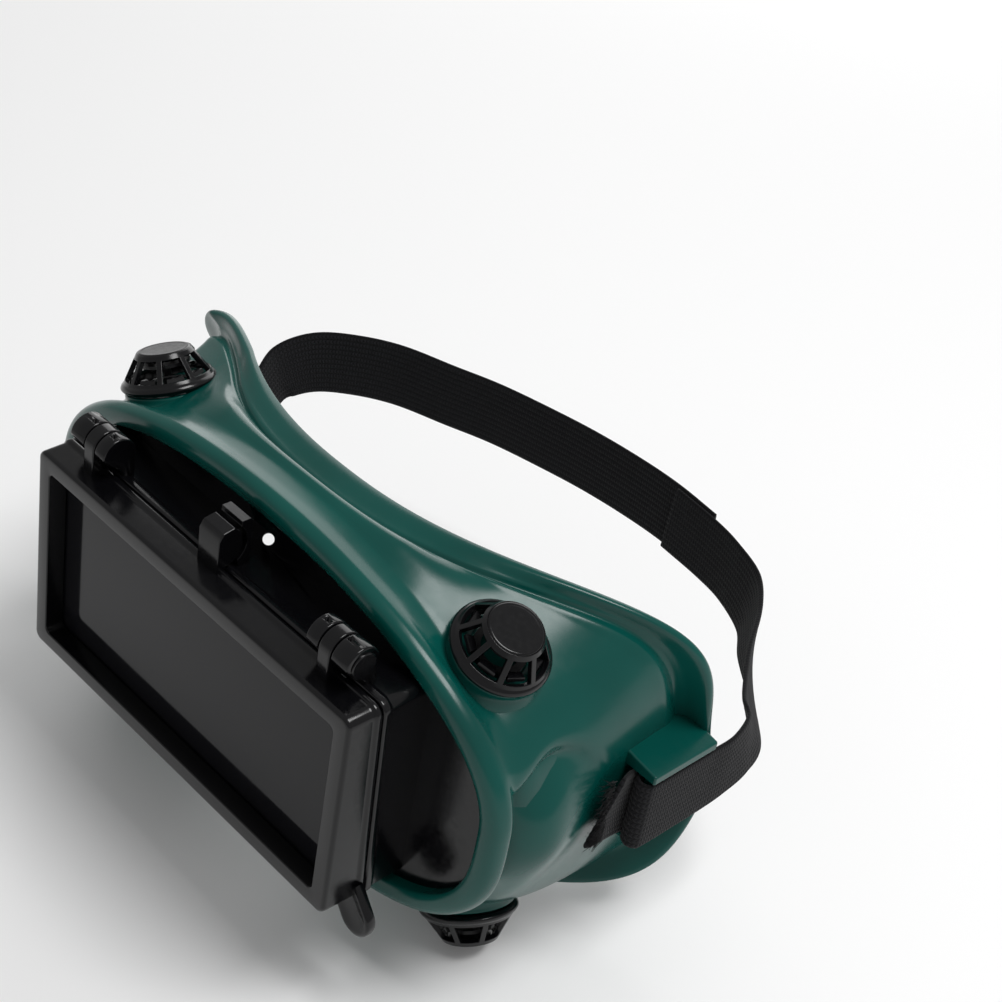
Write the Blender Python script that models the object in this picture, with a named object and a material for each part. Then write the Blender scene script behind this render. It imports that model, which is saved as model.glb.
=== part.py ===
"""Flip-front welding goggles, modelled piece by piece in metres, +Z up.

Origin: the middle of the face opening.  The wearer looks along -Y, +X is the wearer's left.
Depths are measured backwards from the flat front rim of the flip-up frame, and every place
is written as (x, depth, z) in millimetres and turned into metres by the function at().
"""
import math

import bmesh
import bpy
import numpy as np
from mathutils import Matrix, Vector

MM = 0.001
FACE_DEPTH = 70.0            # front rim to the middle of the face opening
GAP = 0.3                    # clearance between pieces that touch or nearly touch

# lens frames: built round a 108 x 50.8 mm lens plate
FRAME_W = 114.0
FRAME_H = 57.3
RIM_W = 4.7                  # width of the flat rim round the window
RECESS = 4.7                 # depth of the window recess
WALL = 2.8                   # side wall of both lens frames
FLIP_DEPTH = 8.8             # flip frame depth at its top edge
WEDGE = 2.5                  # the flip frame is this much deeper at its bottom edge
LENS_W = 108.0
LENS_H = 50.8
FILTER_T = 2.5
COVER_T = 2.0
PLATE_DEPTH = 21.8           # front of the oval plate that fills the mask's collar
PLATE_T = 3.4

# flip hinge
HINGE_DEPTH = 8.3
HINGE_Z = 35.3
KNUCKLE_R = 4.5
KNUCKLES = ((36.5, 40.3), (40.6, 44.4), (44.7, 50.0))   # outer, middle, outer along X
PIN_R = 1.15
BORE_R = 1.2                 # hinge bores in the fixed frame
TURN_R = 1.24                # hinge bores in the flip frame
CAM_HALF = 3.7               # half width of the centre detent cam

# mask body
COLLAR_DEPTH = 18.5          # front of the collar at the middle
COLLAR_A = 83.0              # half width of the collar's outer edge
COLLAR_TOP = 44.2
COLLAR_BOTTOM = 41.0
OPENING_A = 76.5             # half width of the collar's opening
OPENING_TOP = 37.4
OPENING_BOTTOM = 35.0
COLLAR_POWERS = (2.1, 3.3)   # how square the ovals are: upper half, lower half
OPENING_POWERS = (2.35, 3.5)
MASK_COUNT = 64              # points round every loop of the mask
SKIN = 2.5                   # soft wall thickness
GROOVE_BACK = 10.0           # the side wall runs straight back this far behind the collar
CHEEK = 8.0                  # how far the cheeks bulge down behind the collar
VENT_DIP = 3.4               # how far the wall sinks under the top vents
FLANGE_A = 85.0              # half width of the face flange
FLANGE_TOP = 42.0
FLANGE_BOTTOM = 51.5
FLANGE_POWERS = (4.0, 7.0)   # the flange's lower corners are squarer than its upper ones
FLANGE_REACH = 6.5           # how far the flange stands out from the body
FLANGE_FRONT = 43.0          # depth of the flange at the brow
FLANGE_WRAP = 27.0           # how much deeper it lies 70 mm out from the middle
TEMPLE = 8.0                 # extra depth at the temples
NOSE_NOTCH = 35.0            # height of the notch for the nose
NOSE_LIFT = 4.0              # the flange comes this much forward at the nose
COLLAR_SWEEP = 5.0           # how far the collar's ends are swept back

# vents: cap flange centre, tilt outwards and forwards in degrees, thickness of the seat
VENT_R = 12.0
VENT_H = 7.0                 # height of the cap above its flange
VENT_TOP = (60.3, 38.8, 34.2, 22.5, 0.0, 6.4)
VENT_BOTTOM = (62.0, 43.5, -49.2, 28.0, 12.0, 9.6)
SEAT_TOP = -2.7              # top of the seat below the cap flange's face
HOLE_R = 6.6
SEAT_R = 11.2

# strap lugs and headband
STRAP_W = 20.0
STRAP_T = 1.3
LUG_X = (77.4, 84.4, 86.9)   # root, inside and outside of the lug's outer wall
LUG_DEPTH = (67.5, 87.5)
LUG_Z = (-22.2, 3.3)
SLOT_Z = (-20.8, 0.2)
STRAP_Z = -10.3

COLOURS = {
    "green": ((0.003, 0.055, 0.04), 0.3, 0.0),
    "black": ((0.012, 0.012, 0.013), 0.25, 0.0),
    "satin": ((0.02, 0.02, 0.021), 0.45, 0.0),
    "shade": ((0.012, 0.013, 0.012), 0.06, 0.0),
    "clear": ((0.75, 0.78, 0.78), 0.05, 0.0),
    "rubber": ((0.03, 0.03, 0.03), 0.7, 0.0),
    "steel": ((0.6, 0.6, 0.6), 0.3, 1.0),
    "webbing": ((0.015, 0.015, 0.017), 0.9, 0.0),
}


def clear_scene():
    """Remove every object already in the file."""
    for ob in list(bpy.data.objects):
        bpy.data.objects.remove(ob)


def at(x, depth, z):
    """A point in metres from its x, depth behind the front rim, and z in millimetres."""
    return Vector((x * MM, (depth - FACE_DEPTH) * MM, z * MM))


def material(name, finish):
    """A Principled material of its own for one object."""
    colour, roughness, metallic = COLOURS[finish]
    mat = bpy.data.materials.new(name)
    mat.use_nodes = True
    bsdf = mat.node_tree.nodes["Principled BSDF"]
    bsdf.inputs["Base Color"].default_value = (*colour, 1.0)
    bsdf.inputs["Roughness"].default_value = roughness
    bsdf.inputs["Metallic"].default_value = metallic
    return mat


def finish_object(name, mesh, finish, smooth=35.0):
    """Link a mesh as a named object with its own material."""
    ob = bpy.data.objects.new(name, mesh)
    bpy.context.scene.collection.objects.link(ob)
    if finish:
        mesh.materials.append(material(name, finish))
    mesh.shade_smooth()
    mesh.set_sharp_from_angle(angle=math.radians(smooth))
    return ob


def mesh_from(name, verts, faces):
    """A mesh from vertices and faces, with its faces turned outwards."""
    mesh = bpy.data.meshes.new(name)
    mesh.from_pydata([tuple(v) for v in verts], [], faces)
    bm = bmesh.new()
    bm.from_mesh(mesh)
    bmesh.ops.recalc_face_normals(bm, faces=bm.faces)
    bm.to_mesh(mesh)
    bm.free()
    return mesh


def wrap_grid(rows):
    """Vertices and faces of a grid that closes on itself both ways (a ring of loops)."""
    n, m = len(rows), len(rows[0])
    verts = [v for row in rows for v in row]
    faces = []
    for i in range(n):
        for j in range(m):
            k, l = (i + 1) % n, (j + 1) % m
            faces.append((i * m + j, i * m + l, k * m + l, k * m + j))
    return verts, faces


def capped_grid(rows):
    """Vertices and faces of stacked closed loops with a flat cap on each end."""
    n, m = len(rows), len(rows[0])
    verts = [v for row in rows for v in row]
    faces = [(i * m + j, i * m + (j + 1) % m, (i + 1) * m + (j + 1) % m, (i + 1) * m + j)
             for i in range(n - 1) for j in range(m)]
    faces.append(tuple(range(m))[::-1])
    faces.append(tuple((n - 1) * m + j for j in range(m)))
    return verts, faces


def box_mesh(name, x, depth, z):
    """A box between two x, two depths and two z."""
    low, high = at(x[0], depth[0], z[0]), at(x[1], depth[1], z[1])
    bm = bmesh.new()
    bmesh.ops.create_cube(bm, size=1.0)
    for v in bm.verts:
        v.co = Vector([(low[i] + high[i]) / 2 + v.co[i] * (high[i] - low[i]) for i in range(3)])
    mesh = bpy.data.meshes.new(name)
    bm.to_mesh(mesh)
    bm.free()
    return mesh


def guide(name, mesh):
    """An object that only cuts or joins: left out of renders and of the build."""
    ob = bpy.data.objects.new(name, mesh)
    bpy.context.scene.collection.objects.link(ob)
    ob.hide_render = True
    ob.display_type = "WIRE"
    return ob


def combine(target, other, operation):
    """Join or cut target with a guide object and keep the result in target's mesh."""
    mod = target.modifiers.new("bool", "BOOLEAN")
    mod.operation = operation
    mod.solver = "EXACT"
    mod.object = other
    depsgraph = bpy.context.evaluated_depsgraph_get()
    depsgraph.update()
    result = bpy.data.meshes.new_from_object(target.evaluated_get(depsgraph))
    target.modifiers.clear()
    target.data = result
    bpy.data.objects.remove(other)


def bevelled(target, width, segments=1):
    """Round the sharp edges of a simple block in place; width in millimetres."""
    mod = target.modifiers.new("bevel", "BEVEL")
    mod.width = width * MM
    mod.segments = segments
    mod.limit_method = "ANGLE"
    depsgraph = bpy.context.evaluated_depsgraph_get()
    depsgraph.update()
    target.data = bpy.data.meshes.new_from_object(target.evaluated_get(depsgraph))
    target.modifiers.clear()


def rounded_rectangle(half_w, half_h, radius, steps=4):
    """Points (x, z) round a rectangle with round corners, counter-clockwise from +X."""
    points = []
    for quarter, (sx, sz) in enumerate(((1, 1), (-1, 1), (-1, -1), (1, -1))):
        cx, cz = sx * (half_w - radius), sz * (half_h - radius)
        for k in range(steps + 1):
            angle = math.radians(90 * quarter + 90 * k / steps)
            points.append((cx + radius * math.cos(angle), cz + radius * math.sin(angle)))
    return points


def wedge(depth, z, share):
    """Depth with the flip frame's wedge added: none at the top edge, all at the bottom."""
    return depth + share * WEDGE * (FRAME_H / 2 - z) / FRAME_H


def frame_ring(profile, radius):
    """A closed ring whose section is carried round the rectangular frame.

    Each profile entry is (inset from the outer edge, depth, share of the wedge).
    """
    rows = []
    for inset, depth, share in profile:
        corner = max(radius - inset, 0.4)
        loop = rounded_rectangle(FRAME_W / 2 - inset, FRAME_H / 2 - inset, corner)
        rows.append([at(x, wedge(depth, z, share), z) for x, z in loop])
    return wrap_grid(rows)


def plate_mesh(name, half_w, half_h, radius, front, back):
    """A flat plate with round corners between two depths."""
    loop = rounded_rectangle(half_w, half_h, radius, 3)
    rows = [[at(x, depth, z) for x, z in loop] for depth in (front, back)]
    return mesh_from(name, *capped_grid(rows))


def window_ring(name, half_w, half_h, width, front, back):
    """A flat rectangular ring, such as a gasket or a retainer."""
    rows = []
    for inset, depth in ((0, front), (width, front), (width, back), (0, back)):
        loop = rounded_rectangle(half_w - inset, half_h - inset, max(2.0 - inset, 0.5), 3)
        rows.append([at(x, depth, z) for x, z in loop])
    return mesh_from(name, *wrap_grid(rows))


def superellipse(half_w, top, bottom, p_top, p_bottom, count):
    """Points (x, z) of an oval whose upper and lower halves have their own height and power."""
    t = np.linspace(0.0, 2 * np.pi, count, endpoint=False)
    c, s = np.cos(t), np.sin(t)
    power = np.where(s >= 0, p_top, p_bottom)
    height = np.where(s >= 0, top, bottom)
    reach = (np.abs(c) ** power + np.abs(s) ** power) ** (-1 / power)
    return half_w * c * reach, height * s * reach


def collar_loop(inset, behind):
    """A loop round the collar: inset from its outer edge, behind the collar's front."""
    x, z = superellipse(COLLAR_A - inset, COLLAR_TOP - inset, COLLAR_BOTTOM - inset,
                        *COLLAR_POWERS, MASK_COUNT)
    depth = collar_front(x) + behind
    return np.stack([x, depth, z + 1.0], axis=1)


def collar_sweep(x):
    """How far the collar and the oval plate are swept back at x."""
    return COLLAR_SWEEP * (np.abs(x) / 84.0) ** 4


def collar_front(x):
    """Depth of the collar's front: swept back a little towards its ends."""
    return COLLAR_DEPTH + collar_sweep(x)


def opening_loop(grow, depth):
    """A loop round the collar's opening, grown outwards, swept back as the collar is."""
    x, z = superellipse(OPENING_A + grow, OPENING_TOP + grow, OPENING_BOTTOM + grow,
                        *OPENING_POWERS, MASK_COUNT)
    return np.stack([x, depth + collar_sweep(x), z + 1.0], axis=1)


def flange_loop(inset, behind):
    """A loop round the face flange: curved round the face, with a notch for the nose."""
    x, z = superellipse(FLANGE_A - inset, FLANGE_TOP - inset, FLANGE_BOTTOM - inset,
                        *FLANGE_POWERS, MASK_COUNT)
    full = superellipse(FLANGE_A, FLANGE_TOP, FLANGE_BOTTOM, *FLANGE_POWERS, MASK_COUNT)
    notch = np.where(z < 0, NOSE_NOTCH * np.exp(-(x / 17.0) ** 2), 0.0)
    sweep = FLANGE_WRAP * (np.abs(full[0]) / 70.0) ** 2.3
    temple = TEMPLE * np.exp(-((full[1] + 18.0) / 20.0) ** 2) * (np.abs(full[0]) / FLANGE_A) ** 8
    nose = np.where(z < 0, -NOSE_LIFT * np.exp(-(x / 20.0) ** 2), 0.0)
    return np.stack([x, FLANGE_FRONT + sweep + temple + nose + behind, z + notch], axis=1)


def body_loop(share, inset):
    """A loop of the mask's side wall, share of the way from the collar to the flange."""
    front = collar_loop(0.6 + inset, GROOVE_BACK)
    back = flange_loop(FLANGE_REACH + inset, -2.5)
    loop = front + (back - front) * share
    wide, high = np.abs(front[:, 0]), front[:, 2]
    cheek = np.clip((wide - 22.0) / 32.0, 0, 1) * np.clip(-high / 34.0, 0, 1)
    loop[:, 2] -= CHEEK * math.sin(math.pi * share ** 0.75) * cheek
    dip = np.exp(-((wide - VENT_TOP[0]) / 15.0) ** 2) * np.clip(high / 20.0, 0, 1)
    loop[:, 2] -= VENT_DIP * (1 - share ** 2) * dip
    return loop


def mask_rows():
    """The soft mask's section, carried from the collar back to the flange and home inside."""
    shares = (0.0, 0.25, 0.5, 0.75, 0.92)
    outside = [collar_loop(5.6, 0.6), collar_loop(3.0, 0.0), collar_loop(0.6, 0.8),
               collar_loop(0.0, 2.4)]
    outside += [body_loop(s, 0.0) for s in shares]
    outside += [flange_loop(FLANGE_REACH, -1.5), flange_loop(0.4, -0.8), flange_loop(0.0, 0.6),
                flange_loop(0.6, 1.6)]
    inside = [flange_loop(FLANGE_REACH + 5.0, 1.2)]
    inside += [body_loop(s, SKIN) for s in shares[::-1]]
    seat = PLATE_DEPTH + PLATE_T + GAP
    inside += [opening_loop(-0.5, seat + 2.4), opening_loop(-0.5, seat),
               opening_loop(2.6, seat), opening_loop(2.6, PLATE_DEPTH - GAP),
               opening_loop(0.0, PLATE_DEPTH - GAP)]
    return [[at(*p) for p in loop] for loop in outside + inside]


def vent_matrix(vent, side):
    """Places a vent: its local +Z points out of the mask, its origin is the cap flange."""
    x, depth, z, tilt, forward = vent[:5]
    up = 1.0 if z > 0 else -1.0
    direction = Vector((side * math.tan(math.radians(tilt)), -math.tan(math.radians(forward)), up))
    rotation = direction.normalized().to_track_quat("Z", "Y").to_matrix().to_4x4()
    return Matrix.Translation(at(side * x, depth, z)) @ rotation


def turned(name, profile, steps=24):
    """A solid of revolution about local Z from a closed (radius, z) outline in millimetres."""
    rows = []
    for k in range(steps):
        angle = 2 * math.pi * k / steps
        rows.append([Vector((r * math.cos(angle), r * math.sin(angle), z)) * MM for r, z in profile])
    return mesh_from(name, *wrap_grid(rows))


def disc_mesh(name, radius, top, bottom):
    """A solid disc about local Z between two heights, in millimetres."""
    bm = bmesh.new()
    bmesh.ops.create_cone(bm, cap_ends=True, segments=28, radius1=radius * MM, radius2=radius * MM,
                          depth=(top - bottom) * MM)
    mesh = bpy.data.meshes.new(name)
    bm.to_mesh(mesh)
    bm.free()
    mesh.transform(Matrix.Translation((0, 0, (top + bottom) / 2 * MM)))
    return mesh


def placed(mesh, matrix):
    """A copy of a mesh moved by a matrix, so that its object stays at the world origin."""
    copy = mesh.copy()
    copy.transform(matrix)
    return copy


def vent_cap_mesh():
    """The vent cap: a wide round flange, eight ribs with windows between them, a flat top."""
    cone = [(VENT_R - 0.7, -2.4), (VENT_R, -1.6), (VENT_R, -0.6), (VENT_R - 0.9, 0.0),
            (10.3, 0.1), (6.8, VENT_H), (0.9, VENT_H), (0.9, VENT_H - 1.6), (5.4, VENT_H - 1.6),
            (8.6, -0.8), (8.6, -2.4)]
    cap = guide("cap_work", turned("cap_work", cone, 32))
    for k in range(8):
        angle = math.radians(45 * k + 22.5)
        low, high = 0.9, VENT_H - 1.9
        inner, outer = 3.0, 13.0
        rows = []
        for z, half in ((low, 3.0), (high, 1.9)):
            ring = [(inner, -half * 0.5), (outer, -half * 1.25), (outer, half * 1.25),
                    (inner, half * 0.5)]
            rows.append([Matrix.Rotation(angle, 3, "Z") @ Vector((r, w, z)) * MM for r, w in ring])
        combine(cap, guide("window_cut", mesh_from("window_cut", *capped_grid(rows))), "DIFFERENCE")
    mesh = cap.data
    bpy.data.objects.remove(cap)
    return mesh


def build_vents():
    """Four vents: cap outside, stem through the wall, baffle that stops stray light."""
    cap = vent_cap_mesh()
    baffle = turned("baffle", [(6.0, 3.2), (0.9, 3.2), (0.9, 0.4), (0.3, 0.4), (0.3, 2.2),
                               (0.3, 4.0), (6.0, 4.0)], 20)
    places = {"top": VENT_TOP, "bottom": VENT_BOTTOM}
    for level, vent in places.items():
        inner = SEAT_TOP - vent[5] - GAP
        stem = turned("stem", [(HOLE_R - 0.3, -1.6), (4.6, -1.6), (4.6, inner - 2.2),
                               (8.4, inner - 2.2), (8.4, inner - 1.0), (7.8, inner - 0.5),
                               (HOLE_R - 0.3, inner)], 24)
        for side, word in ((1, "left"), (-1, "right")):
            matrix = vent_matrix(vent, side)
            tag = f"{level}_{word}"
            finish_object(f"vent_cap_{tag}", placed(cap, matrix), "black")
            finish_object(f"vent_stem_{tag}", placed(stem, matrix), "satin")
            finish_object(f"vent_baffle_{tag}", placed(baffle, matrix), "satin")


def lug_mesh(side):
    """One strap lug as a block with a slot that is open at the front."""
    x = (side * LUG_X[0], side * LUG_X[2])
    lug = guide("lug_work", box_mesh("lug_work", (min(x), max(x)), LUG_DEPTH, LUG_Z))
    bevelled(lug, 0.8, 2)
    slot = (side * (LUG_X[0] - 3.0), side * LUG_X[1])
    slot_depth = (LUG_DEPTH[0] - 3.0, LUG_DEPTH[1] - 3.0)
    cutter = guide("slot_cut", box_mesh("slot_cut", (min(slot), max(slot)), slot_depth, SLOT_Z))
    combine(lug, cutter, "DIFFERENCE")
    return lug


def build_mask():
    """The green soft mask: collar, side wall, face flange, vent seats and strap lugs."""
    mask = finish_object("mask_body", mesh_from("mask_body", *wrap_grid(mask_rows())), "green")
    for vent in (VENT_TOP, VENT_BOTTOM):
        for side in (1, -1):
            matrix = vent_matrix(vent, side)
            seat = placed(disc_mesh("seat", SEAT_R, SEAT_TOP, SEAT_TOP - vent[5]), matrix)
            combine(mask, guide("seat_work", seat), "UNION")
            hole = placed(disc_mesh("hole_cut", HOLE_R, 12.0, -14.0), matrix)
            combine(mask, guide("hole_cut", hole), "DIFFERENCE")
    for side in (1, -1):
        combine(mask, lug_mesh(side), "UNION")
    mask.data.shade_smooth()
    mask.data.set_sharp_from_angle(angle=math.radians(40))


def knuckle_mesh(name, x, foot):
    """One hinge knuckle: an arch about the hinge axis with a foot down to its frame."""
    loop = []
    for k in range(13):
        angle = math.radians(180 * k / 12)
        loop.append((HINGE_DEPTH + KNUCKLE_R * math.cos(angle), HINGE_Z + KNUCKLE_R * math.sin(angle)))
    ankle = foot[2] + 2.6
    loop += [(foot[0], ankle), (foot[0], foot[2]), (foot[1], foot[2]), (foot[1], ankle)]
    rows = [[at(xx, depth, z) for depth, z in loop] for xx in x]
    return mesh_from(name, *capped_grid(rows))


def bore_mesh(name, x, radius):
    """A cylinder along X on the hinge axis."""
    bm = bmesh.new()
    bmesh.ops.create_cone(bm, cap_ends=True, segments=20, radius1=radius * MM, radius2=radius * MM,
                          depth=(x[1] - x[0]) * MM)
    mesh = bpy.data.meshes.new(name)
    bm.to_mesh(mesh)
    bm.free()
    turn = Matrix.Rotation(math.radians(90), 4, "Y")
    mesh.transform(Matrix.Translation(at((x[0] + x[1]) / 2, HINGE_DEPTH, HINGE_Z)) @ turn)
    return mesh


def lift_tab(side):
    """The lift tab: a flat rounded tongue pointing down and outwards from a lower corner."""
    loop = []
    for k in range(9):
        angle = math.radians(-90 + 180 * k / 8)
        loop.append((9.5 + 4.8 * math.cos(angle), 4.8 * math.sin(angle)))
    loop += [(-4.0, 4.8), (-4.0, -4.8)]
    turn = math.radians(-52)
    front = FLIP_DEPTH + WEDGE - 3.5
    rows = []
    for depth in (front, front + 2.7):
        row = []
        for u, v in loop:
            x = FRAME_W / 2 - 4.0 + u * math.cos(turn) - v * math.sin(turn)
            z = -FRAME_H / 2 + 4.0 + u * math.sin(turn) + v * math.cos(turn)
            row.append(at(side * x, depth, z))
        rows.append(row)
    tab = guide("tab", mesh_from("tab", *capped_grid(rows)))
    half_w, half_h = FRAME_W / 2 - WALL / 2, FRAME_H / 2 - WALL / 2
    core = box_mesh("tab_trim", (-half_w, half_w), (0.0, 20.0), (-half_h, half_h))
    combine(tab, guide("tab_trim", core), "DIFFERENCE")
    return tab


def cam_mesh():
    """The centre detent cam, a square block over the hinge line with trimmed corners."""
    loop = [(6.2, 28.2), (6.2, 37.4), (7.4, 39.0), (10.4, 39.6), (11.6, 38.9), (12.6, 37.4),
            (12.9, 34.4), (12.2, 32.0), (10.4, 30.4), (8.5, 30.0), (8.4, 28.2)]
    rows = [[at(x, depth, z) for depth, z in loop] for x in (-CAM_HALF, CAM_HALF)]
    return mesh_from("cam", *capped_grid(rows))


def build_flip_frame():
    """The flip-up front: rim, window recess, lens pocket, middle knuckles, cam and tabs."""
    back = FLIP_DEPTH - GAP / 2
    profile = [(1.0, 0.0, 0), (RIM_W, 0.0, 0), (RIM_W + 0.3, RECESS, 0), (WALL, RECESS, 0),
               (WALL, back, 1), (-0.2, back, 1), (-0.6, back - 0.7, 1), (-0.3, back - 1.9, 1),
               (0.0, 2.2, 0), (0.25, 0.7, 0)]
    frame = finish_object("flip_frame", mesh_from("flip_frame", *frame_ring(profile, 2.5)), "black")
    for side in (1, -1):
        x = sorted((side * KNUCKLES[1][0], side * KNUCKLES[1][1]))
        foot = (HINGE_DEPTH - KNUCKLE_R, FLIP_DEPTH - 0.6, 27.6)
        combine(frame, guide("knuckle", knuckle_mesh("knuckle", x, foot)), "UNION")
        combine(frame, lift_tab(side), "UNION")
        bore = bore_mesh("bore", (x[0] - 2, x[1] + 2), TURN_R)
        combine(frame, guide("bore", bore), "DIFFERENCE")
    combine(frame, guide("cam", cam_mesh()), "UNION")
    frame.data.shade_smooth()
    frame.data.set_sharp_from_angle(angle=math.radians(30))


def collar_plate_mesh():
    """The oval plate round the lens box: a ring with a shallow notch at the top centre."""
    count = 64
    x, z = superellipse(OPENING_A + 2.2, OPENING_TOP + 2.2, OPENING_BOTTOM + 2.2,
                        *OPENING_POWERS, count)
    z = z + 1.0
    z -= np.where(z > 0, 6.5 * np.clip(1.6 - np.abs(x) / 8.0, 0, 1), 0.0)
    hole_x, hole_z = superellipse(FRAME_W / 2 - 1.5, FRAME_H / 2 - 1.5, FRAME_H / 2 - 1.5, 12, 12, count)
    rows = []
    for px, pz, depth in ((x, z, PLATE_DEPTH), (hole_x, hole_z, PLATE_DEPTH),
                          (hole_x, hole_z, PLATE_DEPTH + PLATE_T), (x, z, PLATE_DEPTH + PLATE_T)):
        rows.append([at(*p) for p in zip(px, depth + collar_sweep(px), pz)])
    return mesh_from("collar_plate", *wrap_grid(rows))


def build_fixed_frame():
    """The fixed lens frame: a box behind the flip frame and an oval plate in the collar."""
    frame = finish_object("fixed_lens_frame", collar_plate_mesh(), "black")
    back = PLATE_DEPTH + PLATE_T + 1.4
    front = FLIP_DEPTH + GAP / 2
    inset = RIM_W + 0.3
    profile = [(0.0, front + 2.4, 1), (-0.6, front + 1.7, 1), (-0.6, front + 0.6, 1),
               (0.0, front, 1), (inset, front, 1), (inset, 14.0, 0), (WALL, 14.0, 0),
               (WALL, back, 0), (0.0, back, 0)]
    box = guide("box", mesh_from("box", *frame_ring(profile, 2.5)))
    combine(frame, box, "UNION")
    for side in (1, -1):
        for low, high in (KNUCKLES[0], KNUCKLES[2]):
            ends = sorted((side * low, side * high))
            foot = (FLIP_DEPTH + 0.6, HINGE_DEPTH + KNUCKLE_R, 27.6)
            knuckle = guide("knuckle", knuckle_mesh("knuckle", ends, foot))
            combine(frame, knuckle, "UNION")
        reach = sorted((side * (KNUCKLES[0][0] - 2), side * (KNUCKLES[2][1] - 1.4)))
        combine(frame, guide("bore", bore_mesh("bore", reach, BORE_R)), "DIFFERENCE")
    combine(frame, guide("detent", detent_mesh()), "UNION")
    frame.data.shade_smooth()
    frame.data.set_sharp_from_angle(angle=math.radians(30))


def detent_mesh():
    """The detent plate behind the cam: hollowed along the cam's sweep, with a lip on top."""
    sweep = 5.75
    loop = [(12.1, 41.0), (12.1, 39.9)]
    start = math.asin((39.75 - HINGE_Z) / sweep)
    end = math.asin((30.6 - HINGE_Z) / sweep)
    for k in range(7):
        angle = start + (end - start) * k / 6
        loop.append((HINGE_DEPTH + sweep * math.cos(angle), HINGE_Z + sweep * math.sin(angle)))
    loop += [(12.4, 28.2), (15.2, 28.2), (15.2, 40.2), (14.6, 41.0)]
    rows = [[at(x, depth, z) for depth, z in loop] for x in (-CAM_HALF, CAM_HALF)]
    return mesh_from("detent", *capped_grid(rows))


def build_lenses():
    """Lens plates, gasket and retainers in the two frames."""
    lens = (LENS_W / 2, LENS_H / 2, 1.5)
    front = RECESS + GAP
    finish_object("filter_lens", plate_mesh("filter_lens", *lens, front, front + FILTER_T), "shade")
    ring = (LENS_W / 2, LENS_H / 2)
    start = front + FILTER_T + GAP
    finish_object("filter_retainer", window_ring("filter_retainer", *ring, 3.4, start, start + 0.8),
                  "satin")
    front = 14.0 + GAP
    finish_object("clear_lens", plate_mesh("clear_lens", *lens, front, front + COVER_T), "clear")
    start = front + COVER_T + GAP
    finish_object("lens_gasket", window_ring("lens_gasket", *ring, 3.0, start, start + 1.5), "rubber")
    start = start + 1.5 + GAP
    finish_object("lens_retainer", window_ring("lens_retainer", *ring, 3.6, start, start + 2.2), "satin")


def build_hinge_pins():
    """A steel pin through the three knuckles of each hinge."""
    for side, word in ((1, "left"), (-1, "right")):
        ends = sorted((side * (KNUCKLES[0][0] + 0.2), side * (KNUCKLES[2][1] - 1.8)))
        finish_object(f"hinge_pin_{word}", bore_mesh("pin", ends, PIN_R), "steel")


def band_points(points, count):
    """Points evenly spaced along a smooth curve through hand-picked (x, depth, z) points."""
    p = np.array(points, float)
    padded = np.vstack([2 * p[0] - p[1], p, 2 * p[-1] - p[-2]])
    dense = []
    for i in range(1, len(padded) - 2):
        for t in np.linspace(0, 1, 24, endpoint=False):
            a, b, c, d = padded[i - 1:i + 3]
            dense.append(0.5 * ((2 * b) + (c - a) * t + (2 * a - 5 * b + 4 * c - d) * t ** 2
                                + (3 * b - a - 3 * c + d) * t ** 3))
    dense.append(p[-1])
    dense = np.array(dense)
    length = np.r_[0, np.cumsum(np.linalg.norm(np.diff(dense, axis=0), axis=1))]
    where = np.linspace(0, length[-1], count)
    return np.stack([np.interp(where, length, dense[:, k]) for k in range(3)], axis=1)


def band_mesh(name, route):
    """A flat band standing on edge along a route: width along Z, thickness across."""
    tangent = np.gradient(route, axis=0)
    tangent[:, 2] = 0.0
    tangent /= np.linalg.norm(tangent, axis=1)[:, None]
    across = np.stack([tangent[:, 1], -tangent[:, 0], np.zeros(len(route))], axis=1)
    up = np.array([0.0, 0.0, 1.0])
    rows = []
    for sx, sz in ((-1, -1), (1, -1), (1, 1), (-1, 1)):
        rows.append(route + across * sx * STRAP_T / 2 + up * sz * STRAP_W / 2)
    rings = np.stack(rows, axis=1)
    return mesh_from(name, *capped_grid([[at(*p) for p in ring] for ring in rings]))


def lug_wrap(side):
    """The band's turns at a lug, from its cut end to where it leaves the lug backwards."""
    inner = LUG_X[1] - GAP - STRAP_T / 2
    outer = LUG_X[2] + GAP + STRAP_T / 2
    tail = inner - STRAP_T - GAP
    front, rear = LUG_DEPTH[0], LUG_DEPTH[1] - 5.4
    points = [(tail + 1.4, front - 9.0), (tail + 0.2, front - 2.0), (tail, front + 4.0),
              (tail, rear - 1.0)]
    for k in range(1, 6):
        angle = math.radians(180 - 180 * k / 6)
        middle, radius = (tail + inner) / 2, (inner - tail) / 2
        points.append((middle + radius * math.cos(angle), rear + radius * math.sin(angle)))
    points += [(inner, rear - 1.0), (inner, front + 4.0)]
    for k in range(1, 8):
        angle = math.radians(180 + 180 * k / 8)
        middle, radius = (inner + outer) / 2, (outer - inner) / 2
        points.append((middle + radius * math.cos(angle), front + radius * math.sin(angle)))
    points += [(outer, front + 4.0), (outer, front + 12.0), (outer, LUG_DEPTH[1])]
    return [(side * x, depth, STRAP_Z) for x, depth in points]


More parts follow.
